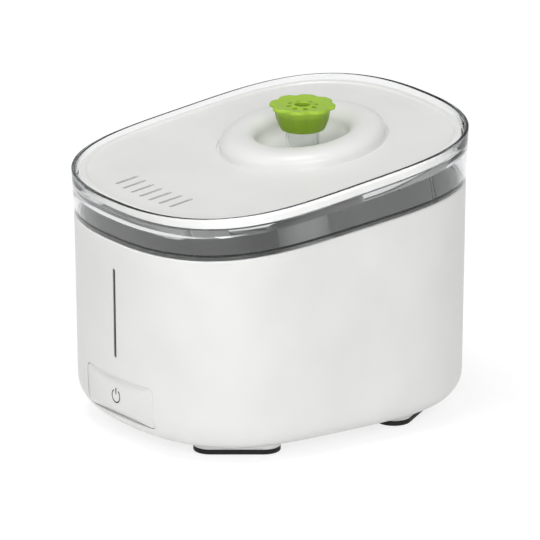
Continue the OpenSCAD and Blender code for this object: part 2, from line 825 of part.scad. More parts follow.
module connector() {
    color("whitesmoke") on_axis(column_z) difference() {
        union() {
            translate([0, 0, -connector_length])
                cylinder(d = connector_diameter, h = connector_length - neck_length);
            translate([0, 0, -neck_length - over]) cylinder(d = neck_diameter, h = neck_length + 2.2 + over);
        }
        translate([0, 0, -connector_length - over])
            cylinder(d = outlet_diameter + 2 * fit, h = connector_length + over);
        cylinder(d = outlet_diameter - 2.4, h = 4);
    }
}
module connector_ring() {
    color("black") on_axis(column_z - neck_length) pipe(connector_diameter, neck_diameter, 1.4);
}

// ---- Lid ----

axis_z = lid_z + rim_tilt * axis_y;
plate_dip = 1.2;         // how far the lid's surface lies below its edge
neck_z = column_top + seat;
neck_height = 4;
neck_r = tube_diameter / 2 + 0.7;
slot_width = 2.4;
slot_length = 16;
slot_pitch = 9;
guide_wall = 2;

function lid_ring(inset, rise) = ring(lid_half - [1, 1] * inset, lid_z + rise, rim_tilt);
// Half-round ridge of the raised ring, thinned by wall, from its inner foot outwards
function ridge(wall) = let (mid = (ring_diameter + ring_hole) / 4, reach = (ring_diameter - ring_hole) / 4)
    [for (a = [180 : -30 : 0]) round_ring(mid + (reach - wall) * cos(a),
        axis_z + (ring_height - wall) * sin(a), rim_tilt)];
// Funnel from the ring's hole down to the neck, grown by wall
function funnel(wall) = let (depth = axis_z - neck_z - neck_height)
    [for (a = [90 : -22.5 : 22.5]) round_ring(neck_r + wall + (ring_hole / 2 - neck_r) * cos(a),
        axis_z - (depth + wall) * sin(a), rim_tilt * cos(a))];
// Where the raised ring meets the plate, drop below the plate's upper face
function bowl_foot(drop) = round_ring(ring_diameter / 2 + 1.5, axis_z - plate_dip - drop, rim_tilt);
module lid_plate() {
    loft([lid_ring(0, -lid_edge), lid_ring(0, -1.5), lid_ring(0.5, -0.4), lid_ring(1.6, 0), lid_ring(5, -0.3),
        lid_ring(9, -plate_dip - 0.4), bowl_foot(0), bowl_foot(lid_wall),
        lid_ring(9, -plate_dip - 0.4 - lid_wall), lid_ring(5, -0.3 - lid_wall),
        lid_ring(lid_wall, -1 - lid_wall), lid_ring(lid_wall, -lid_edge)], looped = true);
}
// Plate that hangs from the lid beside the tray, its top following the lid's slope
module tray_guide(x) {
    front = -tray_rear - tray_side + 2;
    rear = -tray_rear - 6;
    top = lid_z - plate_dip - lid_wall + 0.8;
    low = top - tray_height + 1.5;
    translate([x - guide_wall / 2, 0, 0]) rotate([90, 0, 90]) linear_extrude(guide_wall)
        polygon([[front, low + rim_tilt * front], [rear, low + rim_tilt * rear],
            [rear, top + rim_tilt * rear], [front, top + rim_tilt * front]]);
}
module lid() {
    color("white") difference() {
        lid_plate();
        for (i = [-(drain_slots - 1) / 2 : (drain_slots - 1) / 2])
            translate([slot_pitch * i, -tray_rear - 24 + 0.25 * i * i, rim_z - 40])
                slab(slot_width, slot_length, 60, slot_width / 2 - 0.05);
    }
}

// Raised ring and the drinking bowl that slopes down inside it to the neck
module lid_bowl() {
    color("white") loft(concat([bowl_foot(0)], reversed(ridge(0)), reversed(funnel(0)),
        [round_ring(neck_r, neck_z), round_ring(neck_r + lid_wall, neck_z)],
        funnel(lid_wall), ridge(lid_wall), [bowl_foot(lid_wall)]), looped = true);
}
module tray_guides() {
    color("white") difference() {
        for (side = [-1, 1]) tray_guide(side * (tray_width / 2 + seat + guide_wall / 2));
        lid_plate();
    }
}

// ---- Filter tray ----

tray_top = lid_z - plate_dip - lid_wall - 0.7;
tray_rim = 1.6;          // thickness of the tray's flange
pad_gap = 0.6;

// D-shaped outline of the tray, drawn in by inset
function tray_outline(inset) = let (x = tray_width / 2 - inset, rear = -tray_rear - inset,
    side = -tray_rear - tray_side, front = tray_bulge - inset, r = 5 - inset / 2)
    concat([for (a = [-90 : 6 : 90]) [x * sin(a), side - front * cos(a)]],
        arc(x - r, rear - r, r, 0), arc(-x + r, rear - r, r, 90));
function tray_ring(inset, drop) =
    [for (p = tray_outline(inset)) [p.x, p.y, tray_top - drop + rim_tilt * p.y]];
module filter_tray() {
    floor_drop = tray_height - tray_wall;
    color("whitesmoke") difference() {
        loft([tray_ring(4, tray_height), tray_ring(3, tray_height - 1), tray_ring(2, tray_rim + 0.4),
            tray_ring(0, tray_rim), tray_ring(0, 0.4), tray_ring(0.4, 0), tray_ring(2 + tray_wall - 0.4, 0),
            tray_ring(2 + tray_wall, 0.4), tray_ring(3 + tray_wall, floor_drop)]);
        for (i = [0 : 4]) translate([0, -tray_rear - 9 - 5 * i, tray_top - 40])
            slab(56, 2.2, 60, 1);
    }
}
module pad_form(width, length, height, drop = 0) {
    rear = tray_rear + 3 + tray_wall + pad_gap;
    z = tray_top - tray_height + tray_wall + seat;
    translate([0, -rear, z - rim_tilt * rear]) rotate([rim_slope, 0, 0]) translate([0, -pad_width / 2, -drop])
        slab(width, length, height + drop, 1.5);
}
module pad_frame() {
    color("black") difference() {
        pad_form(pad_length, pad_width, pad_height - 1.5);
        pad_form(pad_length - 6, pad_width - 6, pad_height, over);
    }
}
module pad_media() {
    color("dimgray") pad_form(pad_length - 6.3, pad_width - 6.3, pad_height);
}

// ---- Flow tube and cap ----

tube_top = tube_z + tube_length;
flare_length = 6;
mark_height = 0.9;
mark_pitch = 4.7;
shoulder_z = tube_top + seat;
cap_z = shoulder_z - cap_height + 4;
petal_thickness = 2.4;

module flow_tube() {
    r = tube_diameter / 2;
    f = flare_diameter / 2;
    color("lightcyan", 0.5) on_axis(tube_z) rotate_extrude() polygon([
        [r - tube_wall, 0], [r, 0], [r, tube_length - flare_length], [f, tube_length - 2], [f, tube_length],
        [f - tube_wall, tube_length], [f - tube_wall, tube_length - 2],
        [r - tube_wall, tube_length - flare_length]]);
}
module tube_scale() {
    r = tube_diameter / 2;
    color("dimgray") for (i = [0 : tube_marks - 1])
        on_axis(tube_top - 24 - mark_pitch * i) rotate(-70) rotate_extrude(angle = 70)
            translate([r + 0.01, 0]) square([0.15, mark_height]);
}
module flower_cap() {
    socket = flare_diameter / 2 + seat;
    color("yellowgreen") on_axis(cap_z) difference() {
        union() {
            rotate_extrude() polygon([[0, 0], [cup_bottom / 2, 0],
                [cup_top / 2, cap_height - petal_thickness], [cup_top / 2, cap_height], [0, cap_height]]);
            translate([0, 0, cap_height - petal_thickness]) linear_extrude(petal_thickness)
                polygon([for (a = [0 : 3 : 357])
                    let (r = petal_diameter / 2 - 2.2 * pow(abs(sin(petals * a / 2)), 4))
                    [r * cos(a), r * sin(a)]]);
        }
        translate([0, 0, -over]) cylinder(r = socket, h = cap_height - 4 + over);
        cylinder(d = 9, h = cap_height + over);
        for (i = [0 : petals - 1]) rotate(360 * (i + 0.5) / petals) translate([8, 0, 0])
            cylinder(d = 3, h = cap_height + over);
    }
}

base_shell();
base_plate();
foot_bosses();
rubber_feet();
level_window();
button_panel();
switch_plunger();
bay_cover();
arm_cover();
cover_screws();
circuit_board();
push_switch();
power_inlet();
supply_coil();
coil_core();
float_sensor();
tank();
tank_collar();
tank_recess();
pump_fence();
guide_post();
tank_feet();
level_strip();
post_cap();
float_ring();
float_magnet();
pump_housing();
pump_back_cover();
pump_end_cover();
chamber_plate();
suction_cups();
flow_slider();
impeller();
rotor_magnet();
impeller_shaft();
stator_core();
stator_coil();
pickup_coil();
column_shell();
column_foot();
column_seal();
column_foot_ring();
connector();
connector_ring();
lid();
lid_bowl();
tray_guides();
filter_tray();
pad_frame();
pad_media();
flow_tube();
tube_scale();
flower_cap();
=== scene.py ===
from math import sin, cos, tan, pi, radians, sqrt, copysign
import bpy, bmesh
from mathutils import Vector, Matrix


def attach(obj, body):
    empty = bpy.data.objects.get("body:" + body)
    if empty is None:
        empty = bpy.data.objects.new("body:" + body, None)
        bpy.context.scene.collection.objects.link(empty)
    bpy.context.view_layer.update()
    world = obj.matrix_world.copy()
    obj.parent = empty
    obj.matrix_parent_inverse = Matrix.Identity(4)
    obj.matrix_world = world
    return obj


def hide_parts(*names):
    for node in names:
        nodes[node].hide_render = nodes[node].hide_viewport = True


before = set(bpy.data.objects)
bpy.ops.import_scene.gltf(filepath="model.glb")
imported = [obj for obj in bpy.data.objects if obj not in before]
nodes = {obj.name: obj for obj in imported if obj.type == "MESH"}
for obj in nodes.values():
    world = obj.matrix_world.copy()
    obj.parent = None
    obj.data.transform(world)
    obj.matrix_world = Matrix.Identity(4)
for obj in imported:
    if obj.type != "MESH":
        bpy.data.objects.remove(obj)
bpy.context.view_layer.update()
mm = 0.001
axisGap = 0.001                                                 # radius left open at a solid turning's axis
print("frame loaded:", len(nodes), "nodes")


# Mesh helpers; every size below is in millimetres

def placed(name, data):
    thing = bpy.data.objects.new(name, data)
    bpy.context.scene.collection.objects.link(thing)
    return thing


def reworked(mesh, change):
    work = bmesh.new()
    work.from_mesh(mesh)
    change(work)
    work.to_mesh(mesh)
    work.free()


def closeUp(work):
    bmesh.ops.remove_doubles(work, verts=work.verts, dist=1e-6)
    bmesh.ops.recalc_face_normals(work, faces=work.faces)


def newMesh(name, points, faces, fixNormals=True):
    mesh = bpy.data.meshes.new(name)
    mesh.from_pydata([(x * mm, y * mm, z * mm) for x, y, z in points], [], faces)
    if fixNormals:
        reworked(mesh, closeUp)
    return placed(name, mesh)


# Skin over rings of as many points each; a looped one closes on itself, others get two end faces
def loft(name, rings, looped=False):
    count, total = len(rings[0]), len(rings)
    faces = []
    for j in range(total if looped else total - 1):
        low, high = j * count, (j + 1) % total * count
        faces += [(low + i, low + (i + 1) % count, high + (i + 1) % count, high + i) for i in range(count)]
    if not looped:
        faces += [tuple(range(count))[::-1], tuple(range((total - 1) * count, total * count))]
    return newMesh(name, [p for ring in rings for p in ring], faces)


# Rounds the corners of a flat outline, each by a radius of its own
def rounded(points, radii, steps=5):
    result = []
    for i, (here, radius) in enumerate(zip(points, radii)):
        p, a, b = Vector(here), Vector(points[i - 1]), Vector(points[(i + 1) % len(points)])
        toA, toB = a - p, b - p
        angle = toA.angle(toB) if radius > 0 else pi
        if angle > pi - 0.02:                                   # a sharp or straight corner stays
            result.append(tuple(here))
            continue
        reach = min(radius / tan(angle / 2), 0.49 * toA.length, 0.49 * toB.length)
        start, end = p + toA.normalized() * reach, p + toB.normalized() * reach
        for k in range(steps + 1):
            t = k / steps
            result.append(tuple((1 - t) ** 2 * start + 2 * t * (1 - t) * p + t ** 2 * end))
    return result


# Turned piece: a closed outline of (radius, height) round an upright axis
def turned(name, outline, centre=(0, 0, 0), steps=96):
    points, faces, total = [], [], len(outline)
    for s in range(steps):
        a = 2 * pi * s / steps
        points += [(centre[0] + r * cos(a), centre[1] + r * sin(a), centre[2] + z) for r, z in outline]
        here, after = s * total, (s + 1) % steps * total
        faces += [(here + i, here + (i + 1) % total, after + (i + 1) % total, after + i)
                  for i in range(total)]
    piece = newMesh(name, points, faces)
    reworked(piece.data, lambda work: bmesh.ops.dissolve_degenerate(work, edges=work.edges, dist=1e-7))
    return piece


def roundRect(width, length, radius, steps=8):
    x, y = width / 2 - radius, length / 2 - radius
    points = []
    for cx, cy, start in ((x, y, 0), (-x, y, 90), (-x, -y, 180), (x, -y, 270)):
        turns = [radians(start + 90 * k / steps) for k in range(steps + 1)]
        points += [(cx + radius * cos(a), cy + radius * sin(a)) for a in turns]
    return points


def shifted(outline, dx, dy):
    return [(x + dx, y + dy) for x, y in outline]


# Quarter of a round edge from the flat to the wall: (inset, rise) for each ring
def quarter(radius, steps):
    turns = [pi / 2 * k / steps for k in range(steps + 1)]
    return [(radius * (1 - sin(a)), radius * (1 - cos(a))) for a in turns]


# Rounded lip from an outer to an inner inset: (inset, drop) for each ring
def lipSteps(outer, inner, radius, steps=5):
    bend = quarter(radius, steps)
    return [(outer + inset, drop) for drop, inset in bend] + [(inner - inset, drop) for inset, drop in bend]


# Block that rises from low to high over the outline shape(inset), with rounded upper and lower edges
def softBlock(name, shape, low, high, edge, lowerEdge=None, steps=4):
    lowerEdge = edge if lowerEdge is None else lowerEdge
    rings = [[(x, y, low + rise) for x, y in shape(inset)] for rise, inset in quarter(lowerEdge, steps)[::-1]]
    rings += [[(x, y, high - drop) for x, y in shape(inset)] for drop, inset in quarter(edge, steps)]
    return loft(name, rings)


def prism(name, outline, low, high):
    return loft(name, [[(x, y, z) for x, y in outline] for z in (low, high)])


def box(name, low, high):
    return prism(name, [(low[0], low[1]), (high[0], low[1]), (high[0], high[1]), (low[0], high[1])],
                 low[2], high[2])


def applied(piece):
    mesh = bpy.data.meshes.new_from_object(piece.evaluated_get(bpy.context.evaluated_depsgraph_get()))
    mesh.transform(piece.matrix_world)
    old = piece.data
    piece.modifiers.clear()
    piece.matrix_world = Matrix.Identity(4)
    piece.data = mesh
    if old and old.users == 0:
        bpy.data.meshes.remove(old)
    return piece


# Cuts, joins or crosses piece with each tool, which is then removed
def carve(piece, tools, how="DIFFERENCE"):
    for tool in tools:
        change = piece.modifiers.new("carve", "BOOLEAN")
        change.operation, change.solver, change.object = how, "EXACT", tool
        bpy.context.view_layer.update()
        applied(piece)
        bpy.data.objects.remove(tool)
    return piece


def merged(name, pieces):
    work = bmesh.new()
    for piece in pieces:
        work.from_mesh(piece.data)
    mesh = bpy.data.meshes.new(name)
    work.to_mesh(mesh)
    work.free()
    for piece in pieces:
        bpy.data.objects.remove(piece)
    return placed(name, mesh)


def moved(piece, matrix):
    piece.data.transform(matrix)
    return piece


# Tips an upright piece over: a quarter turn round X lays it along Y, one round Y along X
def laid(piece, axis, x, y, z):
    return moved(piece, Matrix.Translation((x * mm, y * mm, z * mm)) @ Matrix.Rotation(pi / 2, 4, axis))


def finished(piece, body, slotName, finish, replaces=(), sharp=32):
    piece.data.materials.clear()
    piece.data.materials.append(finishes[finish])
    piece.data.shade_smooth()
    piece.data.set_sharp_from_angle(angle=radians(sharp))
    if replaces:
        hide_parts(*replaces)
    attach(piece, body)
    return piece


# One function adds a node to any tree; an input is set to a value or linked to a socket
def addNode(tree, kind, settings=None, **inputs):
    node = tree.nodes.new(kind)
    for key, value in (settings or {}).items():
        setattr(node, key, value)
    for key, value in inputs.items():
        socket = node.inputs[int(key[1:])] if key[0] == "n" and key[1:].isdigit() else \
            next(s for s in node.inputs if s.name.replace(" ", "") == key and s.enabled)
        if isinstance(value, bpy.types.NodeSocket):
            tree.links.new(value, socket)
        else:
            socket.default_value = value
    return node


def wired(tree, kind, settings=None, **inputs):                 # the new node's first output
    return addNode(tree, kind, settings, **inputs).outputs[0]


def maths(tree, operation, a, b):
    return wired(tree, "ShaderNodeMath", {"operation": operation}, n0=a, n1=b)


# Geometry Nodes for what repeats: a socket for each label, Count being a whole number
def newTree(name, labels):
    tree = bpy.data.node_groups.new(name, "GeometryNodeTree")
    tree.interface.new_socket(name="Geometry", in_out="OUTPUT", socket_type="NodeSocketGeometry")
    kinds = {"Count": "NodeSocketInt", "Piece": "NodeSocketObject", "Finish": "NodeSocketMaterial"}
    for label in labels:
        tree.interface.new_socket(name=label, in_out="INPUT", socket_type=kinds.get(label, "NodeSocketFloat"))
    return tree, tree.nodes.new("NodeGroupInput").outputs


# Puts the instance on each point, makes the copies real and coats them
def closeTree(tree, values, points, instance, rotation=None, turnAll=None):
    extra = {} if rotation is None else {"Rotation": rotation}
    spread = wired(tree, "GeometryNodeInstanceOnPoints", None, Points=points, Instance=instance, **extra)
    solid = wired(tree, "GeometryNodeRealizeInstances", None, Geometry=spread)
    if turnAll is not None:
        solid = wired(tree, "GeometryNodeTransform", None, Geometry=solid, Rotation=turnAll)
    coat = wired(tree, "GeometryNodeSetMaterial", None, Geometry=solid, Material=values["Finish"])
    tree.links.new(coat, tree.nodes.new("NodeGroupOutput").inputs[0])
    return tree


def pieceOf(tree, values):
    return addNode(tree, "GeometryNodeObjectInfo", None, Object=values["Piece"]).outputs["Geometry"]


def positionOf(tree):
    return addNode(tree, "ShaderNodeSeparateXYZ", None, n0=wired(tree, "GeometryNodeInputPosition")).outputs


# Four copies at the corners of a rectangle, each turned by Turn or its mirror image
def cornerTree():
    tree, values = newTree("fourCorners", ("Width", "Length", "Turn", "Piece", "Finish"))
    grid = wired(tree, "GeometryNodeMeshGrid", None, SizeX=values["Width"], SizeY=values["Length"],
                 VerticesX=2, VerticesY=2)
    place = positionOf(tree)
    product = maths(tree, "MULTIPLY", place[0], place[1])
    side = wired(tree, "ShaderNodeMath", {"operation": "SIGN"}, n0=product)
    angle = wired(tree, "ShaderNodeCombineXYZ", None, n2=maths(tree, "MULTIPLY", side, values["Turn"]))
    return closeTree(tree, values, grid, pieceOf(tree, values), angle)


# Copies round a circle, each turned to face outwards
def radialTree():
    tree, values = newTree("roundTheAxis", ("Count", "Radius", "Start", "Piece", "Finish"))
    circle = wired(tree, "GeometryNodeMeshCircle", None, Vertices=values["Count"], Radius=values["Radius"])
    share = maths(tree, "DIVIDE", wired(tree, "GeometryNodeInputIndex"), values["Count"])
    turn = wired(tree, "ShaderNodeCombineXYZ", None, n2=maths(tree, "MULTIPLY", share, 2 * pi))
    turnAll = wired(tree, "ShaderNodeCombineXYZ", None, n2=values["Start"])
    return closeTree(tree, values, circle, pieceOf(tree, values), turn, turnAll)


# Copies along X on a shallow bow
def rowTree():
    tree, values = newTree("bowedRow", ("Count", "Pitch", "Bow", "Piece", "Finish"))
    reach = maths(tree, "MULTIPLY", maths(tree, "SUBTRACT", values["Count"], 1.0), values["Pitch"])
    start = wired(tree, "ShaderNodeCombineXYZ", None, n0=maths(tree, "MULTIPLY", reach, -0.5))
    line = wired(tree, "GeometryNodeMeshLine", None, Count=values["Count"], StartLocation=start,
                 Offset=wired(tree, "ShaderNodeCombineXYZ", None, n0=values["Pitch"]))
    step = maths(tree, "DIVIDE", positionOf(tree)[0], values["Pitch"])
    back = maths(tree, "MULTIPLY", maths(tree, "MULTIPLY", step, step), values["Bow"])
    bent = wired(tree, "GeometryNodeSetPosition", None, Geometry=line,
                 Offset=wired(tree, "ShaderNodeCombineXYZ", None, n1=back))
    return closeTree(tree, values, bent, pieceOf(tree, values))


# Printed marks: short arcs round the tube with an upright section, one below the other
def marksTree():
    tree, values = newTree("graduationMarks", ("Count", "Pitch", "Radius", "Sweep", "Start", "Height",
                                               "Thickness", "Finish"))
    arc = wired(tree, "GeometryNodeCurveArc", None, Resolution=14, Radius=values["Radius"],
                StartAngle=values["Start"], SweepAngle=values["Sweep"])
    upright = wired(tree, "GeometryNodeSetCurveNormal", {"mode": "Z_UP"}, Curve=arc)
    section = wired(tree, "GeometryNodeCurvePrimitiveQuadrilateral", None, Width=values["Thickness"],
                    Height=values["Height"])
    strip = wired(tree, "GeometryNodeCurveToMesh", None, Curve=upright, ProfileCurve=section, FillCaps=True)
    down = wired(tree, "ShaderNodeCombineXYZ", None, n2=maths(tree, "MULTIPLY", values["Pitch"], -1.0))
    line = wired(tree, "GeometryNodeMeshLine", None, Count=values["Count"], Offset=down)
    return closeTree(tree, values, line, strip)


trees = {"corners": cornerTree(), "radial": radialTree(), "row": rowTree(), "marks": marksTree()}


def repeated(name, tree, source=None, place=(0, 0, 0), **values):
    holder = newMesh(name, [(0, 0, 0)], [], False)
    change = holder.modifiers.new("repeat", "NODES")
    change.node_group = trees[tree]
    if source:
        values["Piece"] = source
    for item in trees[tree].interface.items_tree:
        if item.in_out == "INPUT" and item.name in values:
            change[item.identifier] = values[item.name]
    bpy.context.view_layer.update()
    applied(holder)
    if source:
        bpy.data.objects.remove(source)
    return moved(holder, Matrix.Translation([v * mm for v in place]))


# Materials

def linear(code):
    values = [int(code[i:i + 2], 16) / 255 for i in (1, 3, 5)]
    return tuple(v / 12.92 if v <= 0.04045 else ((v + 0.055) / 1.055) ** 2.4 for v in values) + (1.0,)


def newMaterial(name, code, roughness, **settings):
    material = bpy.data.materials.new(name)
    material.use_nodes = True
    tree = material.node_tree
    shader = tree.nodes["Principled BSDF"]
    shader.inputs["Base Color"].default_value = linear(code)
    shader.inputs["Roughness"].default_value = roughness
    labels = {"metallic": "Metallic", "ior": "IOR", "transmission": "Transmission Weight",
              "sheen": "Sheen Weight", "subsurface": "Subsurface Weight", "specular": "Specular IOR Level"}
    for key, value in settings.items():
        shader.inputs[labels[key]].default_value = value
    return material, tree, shader


def onObject(tree):                                             # the piece's own coordinates
    return addNode(tree, "ShaderNodeTexCoord").outputs["Object"]


# Noise whose grain has its size in millimetres
def grain(tree, size, detail=3.0, stretch=(1, 1, 1), roughness=0.55):
    mapping = wired(tree, "ShaderNodeMapping", None, Vector=onObject(tree), Scale=stretch)
    return wired(tree, "ShaderNodeTexNoise", None, Vector=mapping, Scale=1 / (size * mm), Detail=detail,
                 Roughness=roughness)


def ranged(tree, value, low, high, fromLow=0.3, fromHigh=0.7):
    return wired(tree, "ShaderNodeMapRange", None, Value=value, FromMin=fromLow, FromMax=fromHigh,
                 ToMin=low, ToMax=high)


def bumped(tree, shader, height, depth):
    bump = wired(tree, "ShaderNodeBump", None, Height=height, Distance=depth * mm, Strength=1.0)
    tree.links.new(bump, shader.inputs["Normal"])


def tinted(tree, shader, factor, codeA, codeB):
    mix = addNode(tree, "ShaderNodeMix", {"data_type": "RGBA"})
    tree.links.new(factor, mix.inputs[0])
    mix.inputs[6].default_value, mix.inputs[7].default_value = linear(codeA), linear(codeB)
    tree.links.new(mix.outputs[2], shader.inputs["Base Color"])


# Colour from a coarse noise; gloss and relief from a fine one
def skinned(tree, shader, coarse, fine, codeDark, code, low, high, depth):
    tinted(tree, shader, ranged(tree, coarse, 0, 1), codeDark, code)
    tree.links.new(ranged(tree, fine, low, high), shader.inputs["Roughness"])
    bumped(tree, shader, fine, depth)


# ABS and such plastics from a fine spark-eroded mould: even, with a soft satin gloss
def mouldedPlastic(name, code, codeDark, roughness=0.36, texture=0.5, depth=0.012):
    material, tree, shader = newMaterial(name, code, roughness, specular=0.5)
    skinned(tree, shader, grain(tree, 45, 2.0), grain(tree, texture, 2.0), codeDark, code,
            roughness - 0.05, roughness + 0.06, depth)
    return material


# Clear polystyrene, polished mould: faint flow waves, crisp edges; lamps shine through it
def clearPlastic(name, code, ior, roughness=0.02, wave=22, absorbed=50):
    material, tree, shader = newMaterial(name, code, roughness, transmission=1.0, ior=ior)
    bumped(tree, shader, grain(tree, wave, 1.0, (1, 1, 0.35)), 0.02)
    passed = wired(tree, "ShaderNodeBsdfTransparent", None, Color=linear(code))
    shadow = addNode(tree, "ShaderNodeLightPath").outputs["Is Shadow Ray"]
    mix = wired(tree, "ShaderNodeMixShader", None, n0=shadow, n1=shader.outputs[0], n2=passed)
    inner = wired(tree, "ShaderNodeVolumeAbsorption", None, Color=linear("#B9BEC1"), Density=absorbed)
    output = tree.nodes["Material Output"]
    tree.links.new(mix, output.inputs["Surface"])
    tree.links.new(inner, output.inputs["Volume"])
    return material


# Rubber, black silicone and sintered powder: matte, with a powdery moulded skin
def mouldedRubber(name, code, codeDark, roughness, texture=0.8, depth=0.03):
    material, tree, shader = newMaterial(name, code, roughness, specular=0.4)
    skinned(tree, shader, grain(tree, 9, 2.0), grain(tree, texture, 3.0), codeDark, code,
            roughness - 0.08, roughness + 0.08, depth)
    return material


# Platinum-cured green silicone, pressed in a polished mould, with a little subsurface light; its colour is
# painted darker down the cup and lighter at the rim, as painted shade under the flange
def petalSiliconePaintedShade(name, shadedBelow=174, litAbove=178.5):
    material, tree, shader = newMaterial(name, "#9DC52F", 0.36, specular=0.4, subsurface=0.12)
    shader.inputs["Subsurface Radius"].default_value = (0.5, 1.0, 0.2)
    shader.inputs["Subsurface Scale"].default_value = 1.5 * mm
    height = addNode(tree, "ShaderNodeSeparateXYZ", None, n0=onObject(tree)).outputs[2]
    # painted shade: the colour runs by height from a darker green low on the cup to a lighter green at the
    # rim
    tinted(tree, shader, ranged(tree, height, 0, 1, shadedBelow * mm, litAbove * mm), "#7E9F20", "#A6CC3C")
    fine = grain(tree, 1.0, 3.0)
    tree.links.new(ranged(tree, fine, 0.28, 0.44), shader.inputs["Roughness"])
    bumped(tree, shader, fine, 0.02)
    return material


# Drawn, rolled or plated metal: fine lines along one axis
def linedMetal(name, code, codeDark, roughness, lineSize, stretch, depth=0.01):
    material, tree, shader = newMaterial(name, code, roughness, metallic=1.0)
    lines = grain(tree, lineSize, 2.0, stretch)
    skinned(tree, shader, lines, lines, codeDark, code, roughness - 0.08, roughness + 0.12, depth)
    return material


# Enamelled copper wire, wound layer on layer: rounded turns along one axis
def woundCopper(name, axis, pitch=0.6):
    bands = 3.18                                                # in a metre, for a wave texture of scale 1
    material, tree, shader = newMaterial(name, "#B4622F", 0.34, metallic=1.0)
    turns = addNode(tree, "ShaderNodeTexWave", {"wave_type": "BANDS", "bands_direction": axis},
                    Vector=onObject(tree), Scale=1 / (pitch * mm) / bands, Distortion=0.4).outputs["Fac"]
    tinted(tree, shader, turns, "#7A3A1B", "#C4733A")
    bumped(tree, shader, turns, 0.12)
    return material


# Glass-fibre board under green solder mask, with faint copper tracks
def circuitLaminate(name):
    material, tree, shader = newMaterial(name, "#0F4A2A", 0.35)
    upright = wired(tree, "ShaderNodeMapping", None, Rotation=(pi / 2, 0, 0), Vector=onObject(tree))
    tracks = addNode(tree, "ShaderNodeTexBrick", {"offset": 0.5}, Scale=1 / (9 * mm), MortarSize=0.03,
                     Vector=upright).outputs["Fac"]
    tinted(tree, shader, tracks, "#0F4A2A", "#2C7A45")
    bumped(tree, shader, tracks, 0.035)
    return material


# Needled polyester over active carbon: black fibre nest, very rough
def needledFibre(name):
    material, tree, shader = newMaterial(name, "#1B1B1D", 0.9, sheen=0.15, specular=0.2)
    nest = addNode(tree, "ShaderNodeTexVoronoi", {"feature": "DISTANCE_TO_EDGE"}, Vector=onObject(tree),
                   Scale=1 / (1.6 * mm)).outputs["Distance"]
    mix = wired(tree, "ShaderNodeMath", {"operation": "MULTIPLY_ADD"}, n0=nest, n1=0.9,
                n2=grain(tree, 0.5, 5.0, (1, 3, 1), 0.7))
    tinted(tree, shader, ranged(tree, mix, 0, 1, 0.4, 0.9), "#0E0E0F", "#29292B")
    bumped(tree, shader, mix, 0.5)
    return material


# Injection-moulded frosted polypropylene: lets some light through, milky
def frostedPlastic(name, code, codeDark, transmission, roughness=0.32):
    material, tree, shader = newMaterial(name, code, roughness, transmission=transmission, ior=1.49)
    tinted(tree, shader, ranged(tree, grain(tree, 14, 2.0, (1, 1, 0.4)), 0, 1), codeDark, code)
    bumped(tree, shader, grain(tree, 0.7, 2.0), 0.015)
    return material


finishes = {
    "shell": mouldedPlastic("whiteAbsShell", "#F0F0EE", "#EAEAE8"),
    "lid": mouldedPlastic("whiteAbsLid", "#F1F1EF", "#ECECEA", 0.32, 0.6, 0.008),
    "cover": mouldedPlastic("whiteAbsCover", "#E6E6E4", "#DFDFDD", 0.45, 0.8, 0.02),
    "grey": mouldedPlastic("greyAcetal", "#55575A", "#4A4C4F", 0.4, 0.6, 0.01),
    "black": mouldedPlastic("blackAbsPump", "#121315", "#0D0E0F", 0.38, 0.7, 0.02),
    "float": mouldedPlastic("whiteFoamedFloat", "#F6F6F4", "#EFEFEC", 0.6, 1.2, 0.05),
    "window": clearPlastic("smokedWindowAcrylic", "#3A3C3F", 1.49, 0.05, 12),
    "clear": clearPlastic("clearTankStyrene", "#FDFDFD", 1.45),
    "smoked": clearPlastic("smokedTankStyrene", "#8E9296", 1.45, 0.06, 14),
    "tube": clearPlastic("clearTubePolycarbonate", "#FCFDFD", 1.48, 0.02, 9, absorbed=60),
    "rubber": mouldedRubber("blackFootRubber", "#121212", "#0B0B0B", 0.62),
    "seal": mouldedRubber("blackSealSilicone", "#161718", "#0E0F10", 0.5, 0.9, 0.02),
    "cap": petalSiliconePaintedShade("greenSiliconePaintedShade"),
    "column": frostedPlastic("frostedColumn", "#E6E7E7", "#DCDDDD", 0.04),
    "tray": mouldedPlastic("greyTrayPolypropylene", "#DCDCDA", "#D3D3D1", 0.4, 0.8, 0.012),
    "pad": needledFibre("needledCarbonPad"),
    "ink": mouldedPlastic("screenPrintInk", "#24282B", "#1D2022", 0.5, 0.4, 0.01),
    "steel": linedMetal("zincPlatedScrew", "#BFC1C4", "#9EA1A5", 0.3, 0.5, (1, 1, 1)),
    "shaft": linedMetal("groundShaftSteel", "#C9CBCE", "#A9ABAF", 0.2, 0.4, (0.1, 1, 1)),
    "core": linedMetal("laminatedCoreSteel", "#8E9195", "#5E6165", 0.4, 0.5, (8, 0.1, 0.1), 0.03),
    "ferrite": mouldedRubber("sinteredFerrite", "#2E2E31", "#232326", 0.7, 0.5, 0.03),
    "coilY": woundCopper("woundCopperCoil", "Y"),
    "coilX": woundCopper("woundCopperBobbin", "X"),
    "board": circuitLaminate("greenCircuitLaminate"),
}
print("materials ready:", len(finishes))

# Outline and levels that the shells share; the two powers shape the sides and the ends
shells = {"width": 177, "length": 218, "height": 130, "slope": tan(radians(5.2)), "rimSlope": tan(radians(7)),
          "bottom": 5.5, "wall": 2.6, "floor": 3, "edge": 19, "draft": 2, "collarZ": 130.3,
          "collarHeight": 28.6, "flareSides": 2.6, "flareEnds": 0.8, "tankInset": 3.1, "tankWall": 2.2,
          "tankBottom": 11, "middleZ": 70, "sidePower": 2.4, "endPower": 3.65, "count": 256}


def circlePoints(count):
    return [(cos(2 * pi * i / count), sin(2 * pi * i / count)) for i in range(count)]


def outlineY(halfX, halfY, x):
    return halfY * max(0.0, 1 - (abs(x) / halfX) ** shells["sidePower"]) ** (1 / shells["endPower"])


def outlineX(halfX, halfY, y):
    return halfX * max(0.0, 1 - (abs(y) / halfY) ** shells["endPower"]) ** (1 / shells["sidePower"])


